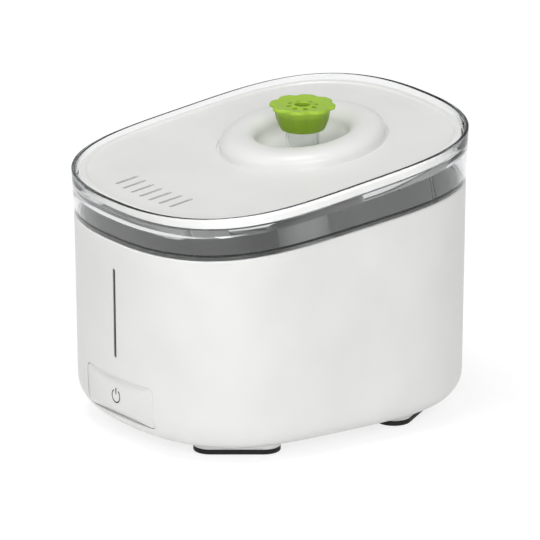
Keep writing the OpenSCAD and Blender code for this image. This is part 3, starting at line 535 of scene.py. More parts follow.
def levelRing(halfX, halfY, z, tilt=0.0):
    powerX, powerY = 2 / shells["sidePower"], 2 / shells["endPower"]
    flat = [(halfX * copysign(abs(c) ** powerX, c), halfY * copysign(abs(s) ** powerY, s))
            for c, s in circlePoints(shells["count"])]
    return [(x, y, z + tilt * y) for x, y in flat]


def roundRing(radius, y0, z, tilt=0.0):
    return [(radius * c, y0 + radius * s, z + tilt * radius * s) for c, s in circlePoints(shells["count"])]


def baseRing(inset, z, tilt=0.0):
    inset += shells["draft"] * (1 - z / shells["height"])
    return levelRing(shells["width"] / 2 - inset, shells["length"] / 2 - inset, z, tilt)


# Base
base = {"windowWidth": 2.6, "windowLow": 51, "windowHigh": 104.5, "windowGap": 0.15, "windowDepth": 2.5,
        "panelWidth": 66, "panelLow": 15, "panelHigh": 40, "panelRadius": 4, "panelGap": 0.3, "panelDepth": 5,
        "lip": 0.9, "footX": 50, "footY": 58, "footLength": 50, "footWidth": 20, "footTurn": 55,
        "footRubber": 3, "footBoss": 2.5, "pocketFront": -66, "pocketLength": 25, "pocketWidth": 14,
        "pocketTop": 18.5, "pocketWall": 2, "plugY": -67, "plugZ": 13.4, "plugRadius": 4.15,
        "screws": ((31, -80.2), (11, -18)), "screwHead": 2.95, "screwHeadDepth": 7.15, "screwRadius": 1.65,
        "screwDepth": 10, "signZ": 28, "signRadius": 3.8, "signWidth": 0.75, "signHeight": 0.15,
        "sideLevels": (45, 75, 100), "slotY": -107.5, "openingY": -100.5,
        "windowRim": ((0, 0.9), (0, 0.45), (0.15, 0.3), (0.3, 0.25)),
        "panelRim": ((0, 2), (0, 0.75), (0.12, 0.4), (0.38, 0.12), (0.8, 0), (1.6, 0))}


def wallY(x, z, inset=0.0):
    inset += shells["draft"] * (1 - z / shells["height"])
    rise = z - shells["bottom"]
    if rise < shells["edge"]:
        inset += shells["edge"] * (1 - sqrt(max(0, 1 - (1 - rise / shells["edge"]) ** 2)))
    return -outlineY(shells["width"] / 2 - inset, shells["length"] / 2 - inset, x)


# Plate that lies in the front wall: rings from its back over its rounded rim to its middle
def wallPatch(name, width, low, high, radius, profile, thickness, middleRings):
    centreZ = (low + high) / 2
    last, lastDepth = profile[-1]

    def patchRing(shape, depth):
        return [(x, wallY(x, centreZ + z) + depth, centreZ + z) for x, z in shape]

    def shares(inset):                                          # ever smaller outlines towards the middle
        for k in range(1, middleRings + 1):
            share = 1 - k / (middleRings + 0.4)
            yield roundRect((width - 2 * inset) * share + 0.02, (high - low - 2 * inset) * share + 0.02,
                            max((radius - inset) * share, 0.005), 10)

    rings = [patchRing(shape, thickness) for shape in list(shares(0))[::-1]]
    rings.append(patchRing(roundRect(width, high - low, radius, 10), thickness))
    rings += [patchRing(roundRect(width - 2 * inset, high - low - 2 * inset, max(radius - inset, 0.4), 10),
                        depth) for inset, depth in profile]
    return loft(name, rings + [patchRing(shape, lastDepth) for shape in shares(last)])


# Printed line on the panel; the path holds x, z and the direction across the line
def signStrip(name, path, width):
    rings = []
    for x, z, acrossX, acrossZ in path:
        a, b = ((x + side * acrossX * width / 2, z + side * acrossZ * width / 2) for side in (-1, 1))
        rings.append([(px, wallY(px, pz) + depth, pz) for (px, pz), depth in
                      ((a, -0.04), (b, -0.04), (b, base["signHeight"]), (a, base["signHeight"]))])
    return loft(name, rings)


def footShape(inset):
    width = base["footWidth"] - 2 * inset
    return roundRect(base["footLength"] - 2 * inset, width, width / 2 - 0.02, 12)


# Block round the pocket for the plug
def pocketBlock():
    b, out = base, 2 * base["pocketWall"]
    return softBlock("pocketWall", lambda inset: shifted(roundRect(
        b["pocketWidth"] + out - 2 * inset, b["pocketLength"] + out - 2 * inset, 3 - inset),
        0, b["pocketFront"] + b["pocketLength"] / 2), 7, b["pocketTop"] + 2, 0.5)


# Cutters for the window's slot and for the panel's opening
def frontCutters():
    b = base
    low, high = b["windowLow"], b["windowHigh"]
    slot = laid(prism("slotCutter", roundRect(b["windowWidth"], high - low, b["windowWidth"] / 2 - 0.01, 10),
                      -6, 6), "X", 0, b["slotY"], (low + high) / 2)
    low, high = b["panelLow"], b["panelHigh"]
    opening = laid(prism("panelCutter", roundRect(b["panelWidth"], high - low, b["panelRadius"], 10),
                         -9, 9.5), "X", 0, b["openingY"], (low + high) / 2)
    return [slot, opening]


# Cutters for the pocket with the plug's hole and for the four screws
def underCutters():
    b, r = base, base["plugRadius"]
    middle = b["pocketFront"] + b["pocketLength"] / 2
    pocket = prism("pocketCutter", shifted(roundRect(b["pocketWidth"], b["pocketLength"], 1), 0, middle),
                   0, b["pocketTop"])
    plugHole = laid(turned("plugHoleCutter", [(axisGap, -4), (r, -4), (r, 4), (axisGap, 4)], steps=48),
                    "X", 0, b["plugY"], b["plugZ"])
    head, shank, step, deep = b["screwHead"], b["screwRadius"], b["screwHeadDepth"], b["screwDepth"]
    screwHole = [(axisGap, 0), (head, 0), (head, step), (shank, step), (shank, deep), (axisGap, deep)]
    return [pocket, plugHole] + [turned("screwCutter", screwHole, (side * x, y, 0), 40)
                                 for x, y in b["screws"] for side in (-1, 1)]


def makeBaseShell():
    b, z, wall, top = base, shells["bottom"], shells["wall"], shells["height"]
    rings = [baseRing(inset, z + rise) for inset, rise in quarter(shells["edge"], 14)]
    rings += [baseRing(0, h) for h in b["sideLevels"]]
    rings += [baseRing(inset, top - drop, shells["slope"]) for inset, drop in lipSteps(0, wall, b["lip"])]
    inside = [baseRing(wall + inset, z + shells["floor"] + rise)
              for inset, rise in quarter(shells["edge"] - wall, 12)]
    shell = loft("baseShell", rings + [baseRing(wall, shells["middleZ"])] + inside[::-1])
    carve(shell, [pocketBlock()], "UNION")
    carve(shell, frontCutters() + underCutters())
    finished(shell, "base", "white_shell", "shell", ["base_shell", "base_plate"])


def makeFeet():
    b = base
    for name, height, edge, lowerEdge, rise, slotName, finish, node in (
            ("footBosses", b["footBoss"] + 1.5, 0.2, 0.5, b["footRubber"], "white_shell", "shell",
             "foot_bosses"),
            ("rubberFeet", b["footRubber"], 0.15, 0.8, 0, "black_rubber", "rubber", "rubber_feet")):
        foot = softBlock("foot", footShape, 0, height, edge, lowerEdge)
        feet = repeated(name, "corners", foot, (0, 0, rise), Width=2 * b["footX"] * mm,
                        Length=2 * b["footY"] * mm, Turn=-radians(b["footTurn"]), Finish=finishes[finish])
        finished(feet, "base", slotName, finish, [node])


def makeWindow():
    b, gap = base, base["windowGap"]
    window = wallPatch("levelWindow", b["windowWidth"] - 2 * gap, b["windowLow"] + gap, b["windowHigh"] - gap,
                       1.1, b["windowRim"], b["windowDepth"], 3)
    finished(window, "base", "smoked_window", "window", ["level_window"])


def makePanel():
    b, gap = base, base["panelGap"]
    panel = wallPatch("buttonPanel", b["panelWidth"] - 2 * gap, b["panelLow"] + gap, b["panelHigh"] - gap,
                      b["panelRadius"] - gap, b["panelRim"], b["panelDepth"], 10)
    finished(panel, "button", "white_shell", "shell", ["button_panel"])


# Power sign: an open ring with a bar in its gap
def makeSign():
    width, reach, height = base["signWidth"], base["signRadius"], base["signZ"]
    turns = [radians(a) for a in range(35, 326, 5)]
    ring = signStrip("signRing", [(reach * sin(a), height + reach * cos(a), sin(a), cos(a)) for a in turns],
                     width)
    bar = signStrip("signBar", [(0, height + 0.25 * reach + k * reach / 4, 1, 0) for k in range(5)], width)
    finished(merged("powerSign", [ring, bar]), "button", "scale_ink", "ink")


makeBaseShell()
makeFeet()
makeWindow()
makePanel()
makeSign()
print("base done")

# Tank
tank = {"bayHalf": 38.5, "bayRear": -73, "bayRoof": 45, "armHalf": 18, "armRoof": 33.5, "armEnd": 2.5,
        "lip": 0.8, "shelfZ": 151.6, "post": (11, -47), "postRadius": 4, "postTop": 79.7,
        "fenceX": 22.8, "fenceFront": 4.5, "fenceRear": 42.2, "fenceWall": 1.8, "fenceHeight": 10,
        "ribY": 37, "ribX": 17, "ribLength": 26, "ribDrop": 4, "ribHalf": 1, "ribDepth": 1.3,
        "feet": ((54, -56), (-54, -56), (56, 46), (-56, 46)), "footRadius": 5, "footLow": 8.8, "footTop": 12,
        "floatZ": 36, "floatSide": ((4.6, 21), (4.6, 3), (7.6, 3), (7.6, 0), (9.5, 0), (11.5, 2), (11.5, 18),
                                    (10.5, 20), (8.5, 21)),
        "capSide": ((axisGap, -4), (2.35, -4), (2.35, 0), (5.5, 0), (5.5, 2), (axisGap, 2))}


def tankRing(inset, z, tilt=0.0):
    return baseRing(shells["tankInset"] + inset, z, tilt)


def collarRing(inset, rise, tilt):
    s, share = shells, rise / shells["collarHeight"]
    return levelRing(s["width"] / 2 - inset + s["flareSides"] * share,
                     s["length"] / 2 - inset + s["flareEnds"] * share, s["collarZ"] + rise, tilt)


# Recess over the electronics with the tunnel for the coil arm; grow makes it larger all round
def bayForm(grow, front=-112):
    t = tank
    rear, edge, corner = t["bayRear"] + grow, 0.6 + grow * 0.5, 2 + grow
    outer = roundRect(2 * t["bayHalf"] + 2 * grow, rear - front, corner)
    bay = softBlock("bay", lambda inset: [(x * (1 - inset / 40), y * (1 - inset / 20) + (rear + front) / 2)
                                          for x, y in outer], 0, t["bayRoof"] + grow, edge, 0)
    start, end = t["bayRear"] - 8, t["armEnd"] + grow
    width, length, middle = 2 * t["armHalf"] + 2 * grow, end - start, (start + end) / 2
    arm = softBlock("arm", lambda inset: shifted(roundRect(
        width - 2 * inset, length - 2 * inset, corner - inset), 0, middle), 0, t["armRoof"] + grow, edge, 0)
    return carve(bay, [arm], "UNION")


def tankOutside(name):
    bottom, collar, tilt = shells["tankBottom"], shells["collarZ"], shells["slope"]
    half = (shells["width"] / 2 - shells["tankInset"], shells["length"] / 2 - shells["tankInset"])
    rings = [tankRing(inset, bottom + rise) for inset, rise in quarter(shells["edge"] - shells["wall"], 12)]
    rings.append(tankRing(0, shells["middleZ"]))
    rings += [levelRing(half[0] + out, half[1] + out, collar - drop, tilt)
              for out, drop in ((0, 0.6), (0.15, 0.1), (0.6, 0))]
    rings += [collarRing(inset, rise, tilt) for inset, rise in quarter(tank["lip"], 4)]
    rings += [collarRing(inset, shells["collarHeight"] - drop, shells["rimSlope"])
              for inset, drop in lipSteps(0, shells["tankWall"], tank["lip"])[:6]]
    return loft(name, rings)


def tankInside():
    wall, height, shelfZ = shells["tankWall"], shells["collarHeight"], tank["shelfZ"]
    edge, slope, tilt = shells["edge"] - shells["wall"] - wall, shells["slope"], shells["rimSlope"]
    halfX = shells["width"] / 2 - shells["tankInset"] - wall
    halfY = shells["length"] / 2 - shells["tankInset"] - wall
    shelf = shelfZ - shells["collarZ"]
    beadX = shells["width"] / 2 + shells["flareSides"] - wall - 0.8
    beadY = shells["length"] / 2 + shells["flareEnds"] - wall - 2.2
    rings = [tankRing(wall + inset, shells["tankBottom"] + wall + rise) for inset, rise in quarter(edge, 10)]
    rings += [tankRing(wall, shells["middleZ"]), levelRing(halfX, halfY, shells["collarZ"] + 1.2, slope),
              collarRing(wall + 0.9, 2.4, slope), collarRing(wall, wall + 1.2, slope),
              collarRing(wall, shelf - 5, tilt)]
    rings += [levelRing(beadX - inset, beadY - inset, shelfZ - drop, tilt)     # bead that carries the lid
              for inset, drop in ((2.2, 2.6), (3, 1.4), (3, 0.3), (2.7, 0))]
    rings += [collarRing(wall + 0.3, shelf, tilt), collarRing(wall, shelf + 0.3, tilt)]
    rings += [collarRing(wall - inset, height - drop, tilt) for inset, drop in quarter(tank["lip"], 4)[::-1]]
    return loft("tankCavity", rings + [collarRing(wall - tank["lip"], height + 2, tilt)])


def pumpFence():
    t, wide = tank, 2 * tank["fenceWall"]
    width, length = 2 * t["fenceX"], t["fenceRear"] - t["fenceFront"]
    centre = (t["fenceFront"] + t["fenceRear"]) / 2
    low = shells["tankBottom"] + shells["tankWall"]
    high = low + t["fenceHeight"]
    fence = softBlock("fence", lambda inset: shifted(roundRect(
        width + wide - 2 * inset, length + wide - 2 * inset, 2 - inset), 0, centre), low - 1, high, 0.4, 0)
    hole = prism("fenceCutter", shifted(roundRect(width, length, 1), 0, centre), low - 2, high + 3)
    return carve(fence, [hole])


def guidePost():
    px, py = tank["post"]
    r, low, high = tank["postRadius"], tank["armRoof"] + shells["tankWall"] + 0.03, tank["postTop"]
    side = rounded([(r - 1.5, low), (r, low), (r, high), (r - 1.5, high)], [0, 0, 0.3, 0.3], 3)
    return turned("post", side, (px, py, 0), 64)


# Ribs that stand on the inside of the wall: two on each flank, two at the rear
def wallRibs():
    t, half, deep = tank, tank["ribHalf"], tank["ribDepth"]
    halfX = shells["width"] / 2 - shells["tankInset"] - shells["tankWall"] - 0.3
    halfY = shells["length"] / 2 - shells["tankInset"] - shells["tankWall"] - 0.3
    ribs = []

    def addRib(y, x0, x1, y0, y1):
        top = shells["collarZ"] + shells["slope"] * y - t["ribDrop"]
        ribs.append(box("rib", (x0, y0, top - t["ribLength"]), (x1, y1, top)))

    for side in (-1, 1):
        for y in (-t["ribY"], t["ribY"]):
            x = side * outlineX(halfX, halfY, y)
            inner, outer = (deep, half) if side > 0 else (half, deep)
            addRib(y, x - inner, x + outer, y - half, y + half)
        x, y = t["ribX"] * side, outlineY(halfX, halfY, t["ribX"])
        addRib(y, x - half, x + half, y - deep, y + half)
    return ribs


def tankFeet():
    r, low, high = tank["footRadius"], tank["footLow"], tank["footTop"]
    side = rounded([(axisGap, low), (r, low), (r, high), (axisGap, high)], [0, 0.5, 0, 0], 3)
    return [turned("foot", side, (x, y, 0), 40) for x, y in tank["feet"]]


def makeTank():
    body = carve(tankOutside("tankBody"), [tankInside()])
    carve(body, [pumpFence()], "UNION")
    carve(body, [bayForm(shells["tankWall"] + 0.03)])
    carve(body, [guidePost()] + wallRibs() + tankFeet(), "UNION")
    finished(body, "tank", "clear_tank", "clear",
             ["tank", "tank_collar", "pump_fence", "guide_post", "tank_feet"], 28)
    print("tank done:", len(body.data.polygons), "faces")


# Shell over the bay and the arm; only its two roofs are smoked, their walls are clear
def makeRecess():
    t, wall = tank, shells["tankWall"]
    recess = carve(tankOutside("tankRecess"), [bayForm(wall)], "INTERSECT")
    carve(recess, [bayForm(0)])
    finished(recess, "tank", "smoked_tank", "smoked", ["tank_recess"], 28)
    recess.data.materials.append(finishes["clear"])
    for face in recess.data.polygons:
        roof = t["armRoof"] if face.center.y / mm > t["bayRear"] + wall + 0.1 else t["bayRoof"]
        face.material_index = 0 if face.center.z / mm > roof - 0.5 else 1


# Float on its post, and the cap that keeps it there
def makeFloat():
    t, (px, py) = tank, tank["post"]
    knob = turned("postCap", rounded(t["capSide"], [0, 0.4, 0.3, 0.4, 0.7, 0], 4), (px, py, t["postTop"]), 64)
    finished(knob, "tank", "float_white", "float", ["post_cap"])
    ring = turned("floatRing", rounded(t["floatSide"], [0.6, 0.2, 0.2, 0.3, 0.8, 0.8, 0.8, 0.8, 1], 4),
                  (px, py, t["floatZ"]), 72)
    finished(ring, "float", "float_white", "float", ["float_ring"])


makeTank()
makeRecess()
makeFloat()

# Pump; its shaft lies along X at spinZ
pump = {"axisY": 22.7, "bottom": 15.5, "top": 42.5, "halfX": 19.3, "halfY": 16, "corner": 1.6,
        "split": 12.3, "backSplit": -17.55, "spinZ": 29, "wall": 1.8, "chamberRadius": 9.5, "chamberX": -5,
        "wellRadius": 5.7, "wellX": -15.8, "coilHalf": 10.5, "statorFront": 8, "statorRear": 13,
        "statorHalf": 11, "boreRadius": 2.5, "grooves": 4, "groovePitch": 5.6, "grooveHeight": 2.4,
        "stepY": 4, "discRadius": 14, "discY": 5, "discRise": 0.55, "intakes": 4, "intakePitch": 4.8,
        "intakeHeight": 1.8, "intakeY": (10.2, 13.8), "cupX": 22, "cupY": 20,
        "outletSide": ((2.5, -3), (5.7, -3), (5.7, 2.5), (3.7, 2.9), (3.7, 19), (2.5, 19)),
        "cupSide": ((axisGap, 0.8), (2.4, 0.2), (4, 0), (4.1, 0.4), (2.6, 1.6), (2.4, 2), (axisGap, 2))}


def pumpSlab(name, x0, x1, edge=0.7):
    p = pump
    middle, width, length = (x0 + x1) / 2, x1 - x0, 2 * p["halfY"]
    corner, share = min(p["corner"], width / 2 - 0.05), min(1, width / 2 - 0.1)
    return softBlock(name, lambda inset: shifted(roundRect(
        width - 2 * inset * share, length - 2 * inset, max(corner - inset, 0.05), 5), middle, p["axisY"]),
        p["bottom"], p["top"], edge)


def alongSpin(name, radius, x0, x1):
    outline = [(0, x0), (radius, x0), (radius, x1), (0, x1)]
    return laid(turned(name, outline, steps=72), "Y", 0, pump["axisY"], pump["spinZ"])


def makePumpHousing():
    p, y0, spin = pump, pump["axisY"], pump["spinZ"]
    front, back, split = y0 - p["halfY"], p["backSplit"], p["split"]
    housing = pumpSlab("pumpHousing", back, split)
    outlet = turned("outlet", rounded(p["outletSide"], [0, 0, 0.6, 0.8, 0.5, 0.4], 4), (0, y0, p["top"]), 64)
    carve(housing, [outlet], "UNION")
    r = p["boreRadius"]
    bore = turned("bore", [(0, 0), (r, 0), (r, 40), (0, 40)], (0, y0, spin), 48)
    chamber = alongSpin("chamber", p["chamberRadius"], p["chamberX"], split + 1)
    well = alongSpin("well", p["wellRadius"], p["wellX"], 0)
    stator = box("stator", (back - 1, y0 - p["statorFront"], spin - p["statorHalf"]),
                 (p["chamberX"] - 2, y0 + p["statorRear"], spin + p["statorHalf"]))
    carve(stator, [alongSpin("wellWall", p["wellRadius"] + 1, p["wellX"] - 1, 0)])
    coil = box("coil", (back - 1, front + p["wall"], spin - p["coilHalf"]),
               (8.5, front + p["wall"] + 3, spin + p["coilHalf"]))
    lows = [p["bottom"] + 4 + p["groovePitch"] * i for i in range(p["grooves"])]
    grooves = [box("groove", (back + 2, front - 1, low), (split - 2, front + 0.7, low + p["grooveHeight"]))
               for low in lows]
    carve(housing, [bore, chamber, well, stator, coil] + grooves)
    finished(housing, "pump", "black_plastic", "black", ["pump_housing"], 30)
    finished(pumpSlab("pumpBackCover", -p["halfX"], back - 0.05, 0.5), "pump", "black_plastic", "black",
             ["pump_back_cover"])


def makePumpCover():
    p, y0, face, bottom = pump, pump["axisY"], pump["halfX"], pump["bottom"]
    cover = pumpSlab("pumpEndCover", p["split"] + 0.1, face)
    step = box("step", (face - 0.7, y0 + p["stepY"], bottom - 1), (face + 1, y0 + 30, p["top"] + 1))
    r = p["discRadius"]
    disc = laid(turned("discCutter", [(axisGap, -3), (r, -3), (r, 3), (axisGap, 3)]), "Y",
                face, y0 - p["discY"], bottom + p["discRise"] * (p["top"] - bottom))
    lower = box("lower", (face - 2, y0, bottom - 2), (face + 2, y0 + 7.6, bottom + 13.5))
    carve(step, [disc, lower])
    lows = [bottom + 4.2 + p["intakePitch"] * i for i in range(p["intakes"])]
    front, rear = p["intakeY"]
    intakes = [box("intake", (face - 3, y0 + front, low), (face + 1, y0 + rear, low + p["intakeHeight"]))
               for low in lows]
    track = box("track", (face - 3, y0 - 11, p["top"] - 8), (face + 1, y0 + 1, p["top"] - 6))
    cavity = box("cavity", (p["split"] - 1, y0 - p["halfY"] + p["wall"], bottom + p["wall"]),
                 (face - p["wall"], y0 + p["halfY"] - p["wall"], p["top"] - p["wall"]))
    carve(cover, [cavity, step] + intakes + [track])
    finished(cover, "pump", "black_plastic", "black", ["pump_end_cover"], 30)
    cup = turned("cup", rounded(p["cupSide"], [0, 0.3, 0.1, 0.1, 0.5, 0, 0], 3), steps=40)
    cups = repeated("suctionCups", "corners", cup, (-2, y0, bottom - 2), Width=p["cupX"] * mm,
                    Length=p["cupY"] * mm, Turn=0.0, Finish=finishes["rubber"])
    finished(cups, "pump", "black_rubber", "rubber", ["suction_cups"])
    print("pump done")


makePumpHousing()
makePumpCover()

# Flow column
column = {"bottom": 61.8, "top": 142.8, "radius": 14.25, "wall": 1.8, "footRadius": 10.45,
          "sealRadius": 15.75, "sealHeight": 2, "plugHeight": 7, "ledge": 26.7, "connectorRadius": 5.25,
          "connectorLength": 15, "shoulder": 4.5}


def makeColumn():
    c, y0 = column, pump["axisY"]
    r, inner, foot, low = c["radius"], c["radius"] - c["wall"], c["footRadius"], c["bottom"]
    top, ledge, plug, wide = c["top"] - low - c["sealHeight"], c["ledge"], c["plugHeight"], c["sealRadius"]
    lip = plug - c["sealHeight"]
    pipe, length, shoulder = c["connectorRadius"], c["connectorLength"], c["shoulder"]
    turnings = (
        ("columnShell", low, 128, "light_gray", "column", ["column_shell", "column_foot"],
         [(4.8, 0), (foot, 0), (foot, 2), (r - 1, 5), (r, 7), (r, top), (inner, top), (inner, ledge),
          (8, ledge), (8, ledge - 1.5), (inner, ledge - 4), (inner, 8), (foot - 1.8, 2.2), (4.8, 2.2)],
         [0.2, 0.5, 0.8, 2.5, 3, 0.3, 0.3, 0.6, 0.3, 0.3, 0.6, 3, 0.6, 0.2], 5),
        ("columnSeal", c["top"] - plug, 128, "black_rubber", "seal", ["column_seal"],
         [(9.9, 0), (inner - 0.15, 0), (inner - 0.15, lip), (wide, lip), (wide, plug), (9.9, plug)],
         [0.6, 0.5, 0.2, 0.5, 0.7, 0.8], 5),
        ("columnFootRing", low, 96, "black_rubber", "seal", ["column_foot_ring"],
         [(foot, 0), (foot + 0.9, 0), (foot + 0.9, 1.6), (foot, 1.6)], [0, 0.4, 0.4, 0], 4),
        ("connectorPipe", low, 80, "light_gray", "column", ["connector"],
         [(3.85, -length), (pipe, -length), (pipe, -shoulder), (4.75, -shoulder), (4.75, 2.2), (2.5, 2.2),
          (2.5, 0), (3.85, 0)], [0.4, 0.5, 0.4, 0.2, 0.3, 0.3, 0, 0.2], 4),
        ("connectorRing", low - shoulder, 80, "black_rubber", "seal", ["connector_ring"],
         [(4.75, 0), (pipe, 0), (pipe, 1.4), (4.75, 1.4)], [0, 0.3, 0.4, 0], 4))
    for name, z, steps, slotName, finish, replaces, outline, radii, bend in turnings:
        finished(turned(name, rounded(outline, radii, bend), (0, y0, z), steps), "column", slotName, finish,
                 replaces)
    print("column done")


makeColumn()

# Lid; fullness below 1 makes the raised ring's section fuller than a half circle
lid = {"z": 156.9, "wall": 2.4, "edge": 5, "dip": 1.2, "ringOuter": 47.5, "ringInner": 27, "ringHeight": 7,
       "fullness": 0.86, "neckRadius": 10.2, "neckZ": 143.1, "neckHeight": 4, "slots": 7, "slotWidth": 2.4,
       "slotLength": 16, "slotPitch": 9, "slotY": -82.7, "slotBow": 0.25, "endGap": 2.2, "sideGap": 0.8,
       "guideX": 48.8, "guideFront": -87.7, "guideRear": -64.7, "guideHeight": 10.5,
       "edgeStep": ((3.0, 0.02), (3.4, 0.1), (3.7, 0.4), (4.0, 0.8), (4.3, 1.05), (4.8, 1.15)),
       "ringGroove": ((2.2, 0), (2.0, 0.2), (1.85, 1.0), (1.5, 1.6), (0.9, 1.65), (0.45, 1.2), (0.2, 0.4))}
lidTop = lid["z"] + shells["rimSlope"] * pump["axisY"]


def lidRing(inset, rise):
    halfX = shells["width"] / 2 + shells["flareSides"] - shells["tankWall"] - lid["sideGap"] - inset
    halfY = shells["length"] / 2 + shells["flareEnds"] - shells["tankWall"] - lid["endGap"] - inset
    return levelRing(halfX, halfY, lid["z"] + rise, shells["rimSlope"])


# Rings of the lid's skin: up its edge, over the raised ring, down the bowl and back along the underside
def lidRings():
    s, tilt, wall, dip = lid, shells["rimSlope"], lid["wall"], lid["dip"]
    foot, inner, neck, neckZ = s["ringOuter"], s["ringInner"], s["neckRadius"], s["neckZ"]
    plateTop, depth = lidTop - dip - 0.1, lidTop - s["neckZ"] - s["neckHeight"]
    mid, reach = (foot + inner) / 2, (foot - inner) / 2

    def ring(radius, z, lean=tilt):
        return roundRing(radius, pump["axisY"], z, lean)

    def bowlRing(k, sink, out=0):
        a = pi / 2 * k / 16
        return ring(neck + out + (inner - neck) * cos(a), lidTop - sink * sin(a), tilt * cos(a))

    rings = [lidRing(0, -s["edge"]), lidRing(0, -2)]
    rings += [lidRing(inset, -drop) for drop, inset in quarter(1.6, 6)]
    rings += [lidRing(inset, -drop) for inset, drop in s["edgeStep"]]
    rings += [lidRing(10.6, -dip - 0.2), ring(foot + 7, plateTop)]
    rings += [ring(foot + out, plateTop - drop) for out, drop in s["ringGroove"]]
    for k in range(29):
        a = pi * k / 28
        x, rise = copysign(abs(cos(a)) ** s["fullness"], cos(a)), sin(a) ** s["fullness"] if k < 28 else 0
        rings.append(ring(mid + reach * x, lidTop + s["ringHeight"] * rise))
    rings += [bowlRing(k, depth) for k in range(1, 17)]
    rings += [ring(neck + out, neckZ + rise, 0) for out, rise in
              ((0, 0.3), (0.3, 0), (wall - 0.3, 0), (wall, 0.3))]
    rings += [bowlRing(k, depth + wall, wall) for k in range(15, 0, -1)]
    for k in range(24, -1, -1):
        a = radians(6 + 174 * k / 24)
        rings.append(ring(mid + (reach - wall) * cos(a), lidTop + (s["ringHeight"] - wall) * sin(a)))
    rings += [ring(foot - 1, lidTop - dip - wall), ring(foot + 7, plateTop - wall)]
    return rings + [lidRing(inset, rise) for inset, rise in
                    ((10.6, -dip - 0.4 - wall), (6, -0.8 - wall), (wall + 0.6, -0.6 - wall),
                     (wall, -1.2 - wall), (wall, 0.2 - s["edge"]), (wall - 0.2, -s["edge"]))]


def makeLid():
    s, tilt = lid, shells["rimSlope"]
    plate = loft("lidPlate", lidRings(), looped=True)
    cutter = prism("slot", roundRect(s["slotWidth"], s["slotLength"], s["slotWidth"] / 2 - 0.02, 8), 0, 60)
    slots = repeated("slotCutters", "row", cutter, (0, s["slotY"], 120), Count=s["slots"],
                     Pitch=s["slotPitch"] * mm, Bow=s["slotBow"] * mm)
    carve(plate, [slots])
    front, rear, top = s["guideFront"], s["guideRear"], s["z"] - s["dip"] - s["wall"] + 0.8
    low = top - s["guideHeight"]
    outline = [(y, z + tilt * y) for y, z in ((front, low), (rear, low), (rear, top), (front, top))]
    side = rounded(outline, [3, 3, 0, 0], 5)
    guides = [loft("guide", [[(x + dx, y, z) for y, z in side] for dx in (-1, 1)])
              for x in (-s["guideX"], s["guideX"])]
    finished(merged("lidPlate", [plate] + guides), "lid", "white_shell", "lid",
             ["lid", "lid_bowl", "tray_guides"], 34)
    print("lid done")


makeLid()

# Filter tray and pad
tray = {"halfX": 47.5, "rear": -58.7, "side": 31, "bulge": 12, "height": 12, "top": 152.6, "wall": 1.6,
        "rim": 1.6, "drains": 5, "drainPitch": 5, "drainLength": 56, "drainWidth": 2.2, "padLength": 72.5,
        "padWidth": 29, "padHeight": 3, "padFrame": 3, "padGap": 0.15,
        "padCrown": ((1.2, 0), (0.3, 0.1), (0, 0.3), (0, 0.55), (0.3, 0.7), (1.0, 0.82), (2.2, 0.91),
                     (4, 0.98), (7, 1), (9.5, 1))}


def trayOutline(inset, steps=64):
    x, rear = tray["halfX"] - inset, tray["rear"] - inset
    side, front, r = tray["rear"] - tray["side"], tray["bulge"] - inset, max(5 - inset / 2, 1)
    turns = [-pi / 2 + pi * k / steps for k in range(steps + 1)]
    points = [(x * sin(a), side - front * cos(a)) for a in turns]
    for cx, start in ((x - r, 0), (-x + r, 90)):
        points += [(cx + r * cos(radians(start + 9 * k)), rear - r + r * sin(radians(start + 9 * k)))
                   for k in range(11)]
    return points


def trayRing(inset, drop):
    return [(x, y, tray["top"] - drop + shells["rimSlope"] * y) for x, y in trayOutline(inset)]


def makeTray():
    t, wall, h, rim = tray, tray["wall"], tray["height"], tray["rim"]
    rings = [trayRing(3.2 + inset, h - rise) for inset, rise in quarter(2, 5)]
    rings += [trayRing(inset, drop) for inset, drop in (
        (2.2, 5.2), (1.9, 5), (1.7, rim + 0.5), (1.4, rim), (0.3, rim), (0, rim - 0.3), (0, 0.4),
        (0.12, 0.12), (0.4, 0), (1.5 + wall, 0), (1.8 + wall, 0.12), (1.9 + wall, 0.4))]
    rings += [trayRing(2.9 + wall + inset, h - wall - drop) for drop, inset in quarter(1.6, 5)]
    drain = roundRect(t["drainLength"], t["drainWidth"], t["drainWidth"] / 2 - 0.05, 6)
    drains = [prism("drain", shifted(drain, 0, t["rear"] - 9 - t["drainPitch"] * i), 110, 170)
              for i in range(t["drains"])]
    body = carve(loft("filterTray", rings), drains)
    finished(body, "filter_tray", "tray_gray", "tray", ["filter_tray"], 34)


def makePad():
    t, tilt = tray, shells["rimSlope"]
    length, width, height, strip = t["padLength"], t["padWidth"], t["padHeight"], 2 * t["padFrame"]
    rear = t["rear"] - 3 - t["wall"] - 0.6
    z = t["top"] - t["height"] + t["wall"] + 0.3 + tilt * rear
    lay = Matrix.Translation((0, rear * mm, z * mm)) @ Matrix.Rotation(radians(7), 4, "X") @ \
        Matrix.Translation((0, -width / 2 * mm, 0))
    edging = softBlock("padFrame", lambda inset: roundRect(
        length - 2 * inset, width - 2 * inset, 1.5 - inset / 2), 0, height - 1.5, 0.4)
    carve(edging, [prism("hole", roundRect(length - strip, width - strip, 1.2), -1, 9)])
    finished(moved(edging, lay), "filter_pad", "black_plastic", "black", ["pad_frame"])

    length, width = length - strip - 2 * t["padGap"], width - strip - 2 * t["padGap"]
    rings = [[(x, y, level * height) for x, y in
              roundRect(length - 2 * inset, width - 2 * inset, max(2.4 - inset / 3, 0.3))]
             for inset, level in t["padCrown"]]
    media = moved(loft("padMedia", rings), lay)
    finished(media, "filter_pad", "pad_black", "pad", ["pad_media"], 60)
    print("tray done")


makeTray()
makePad()

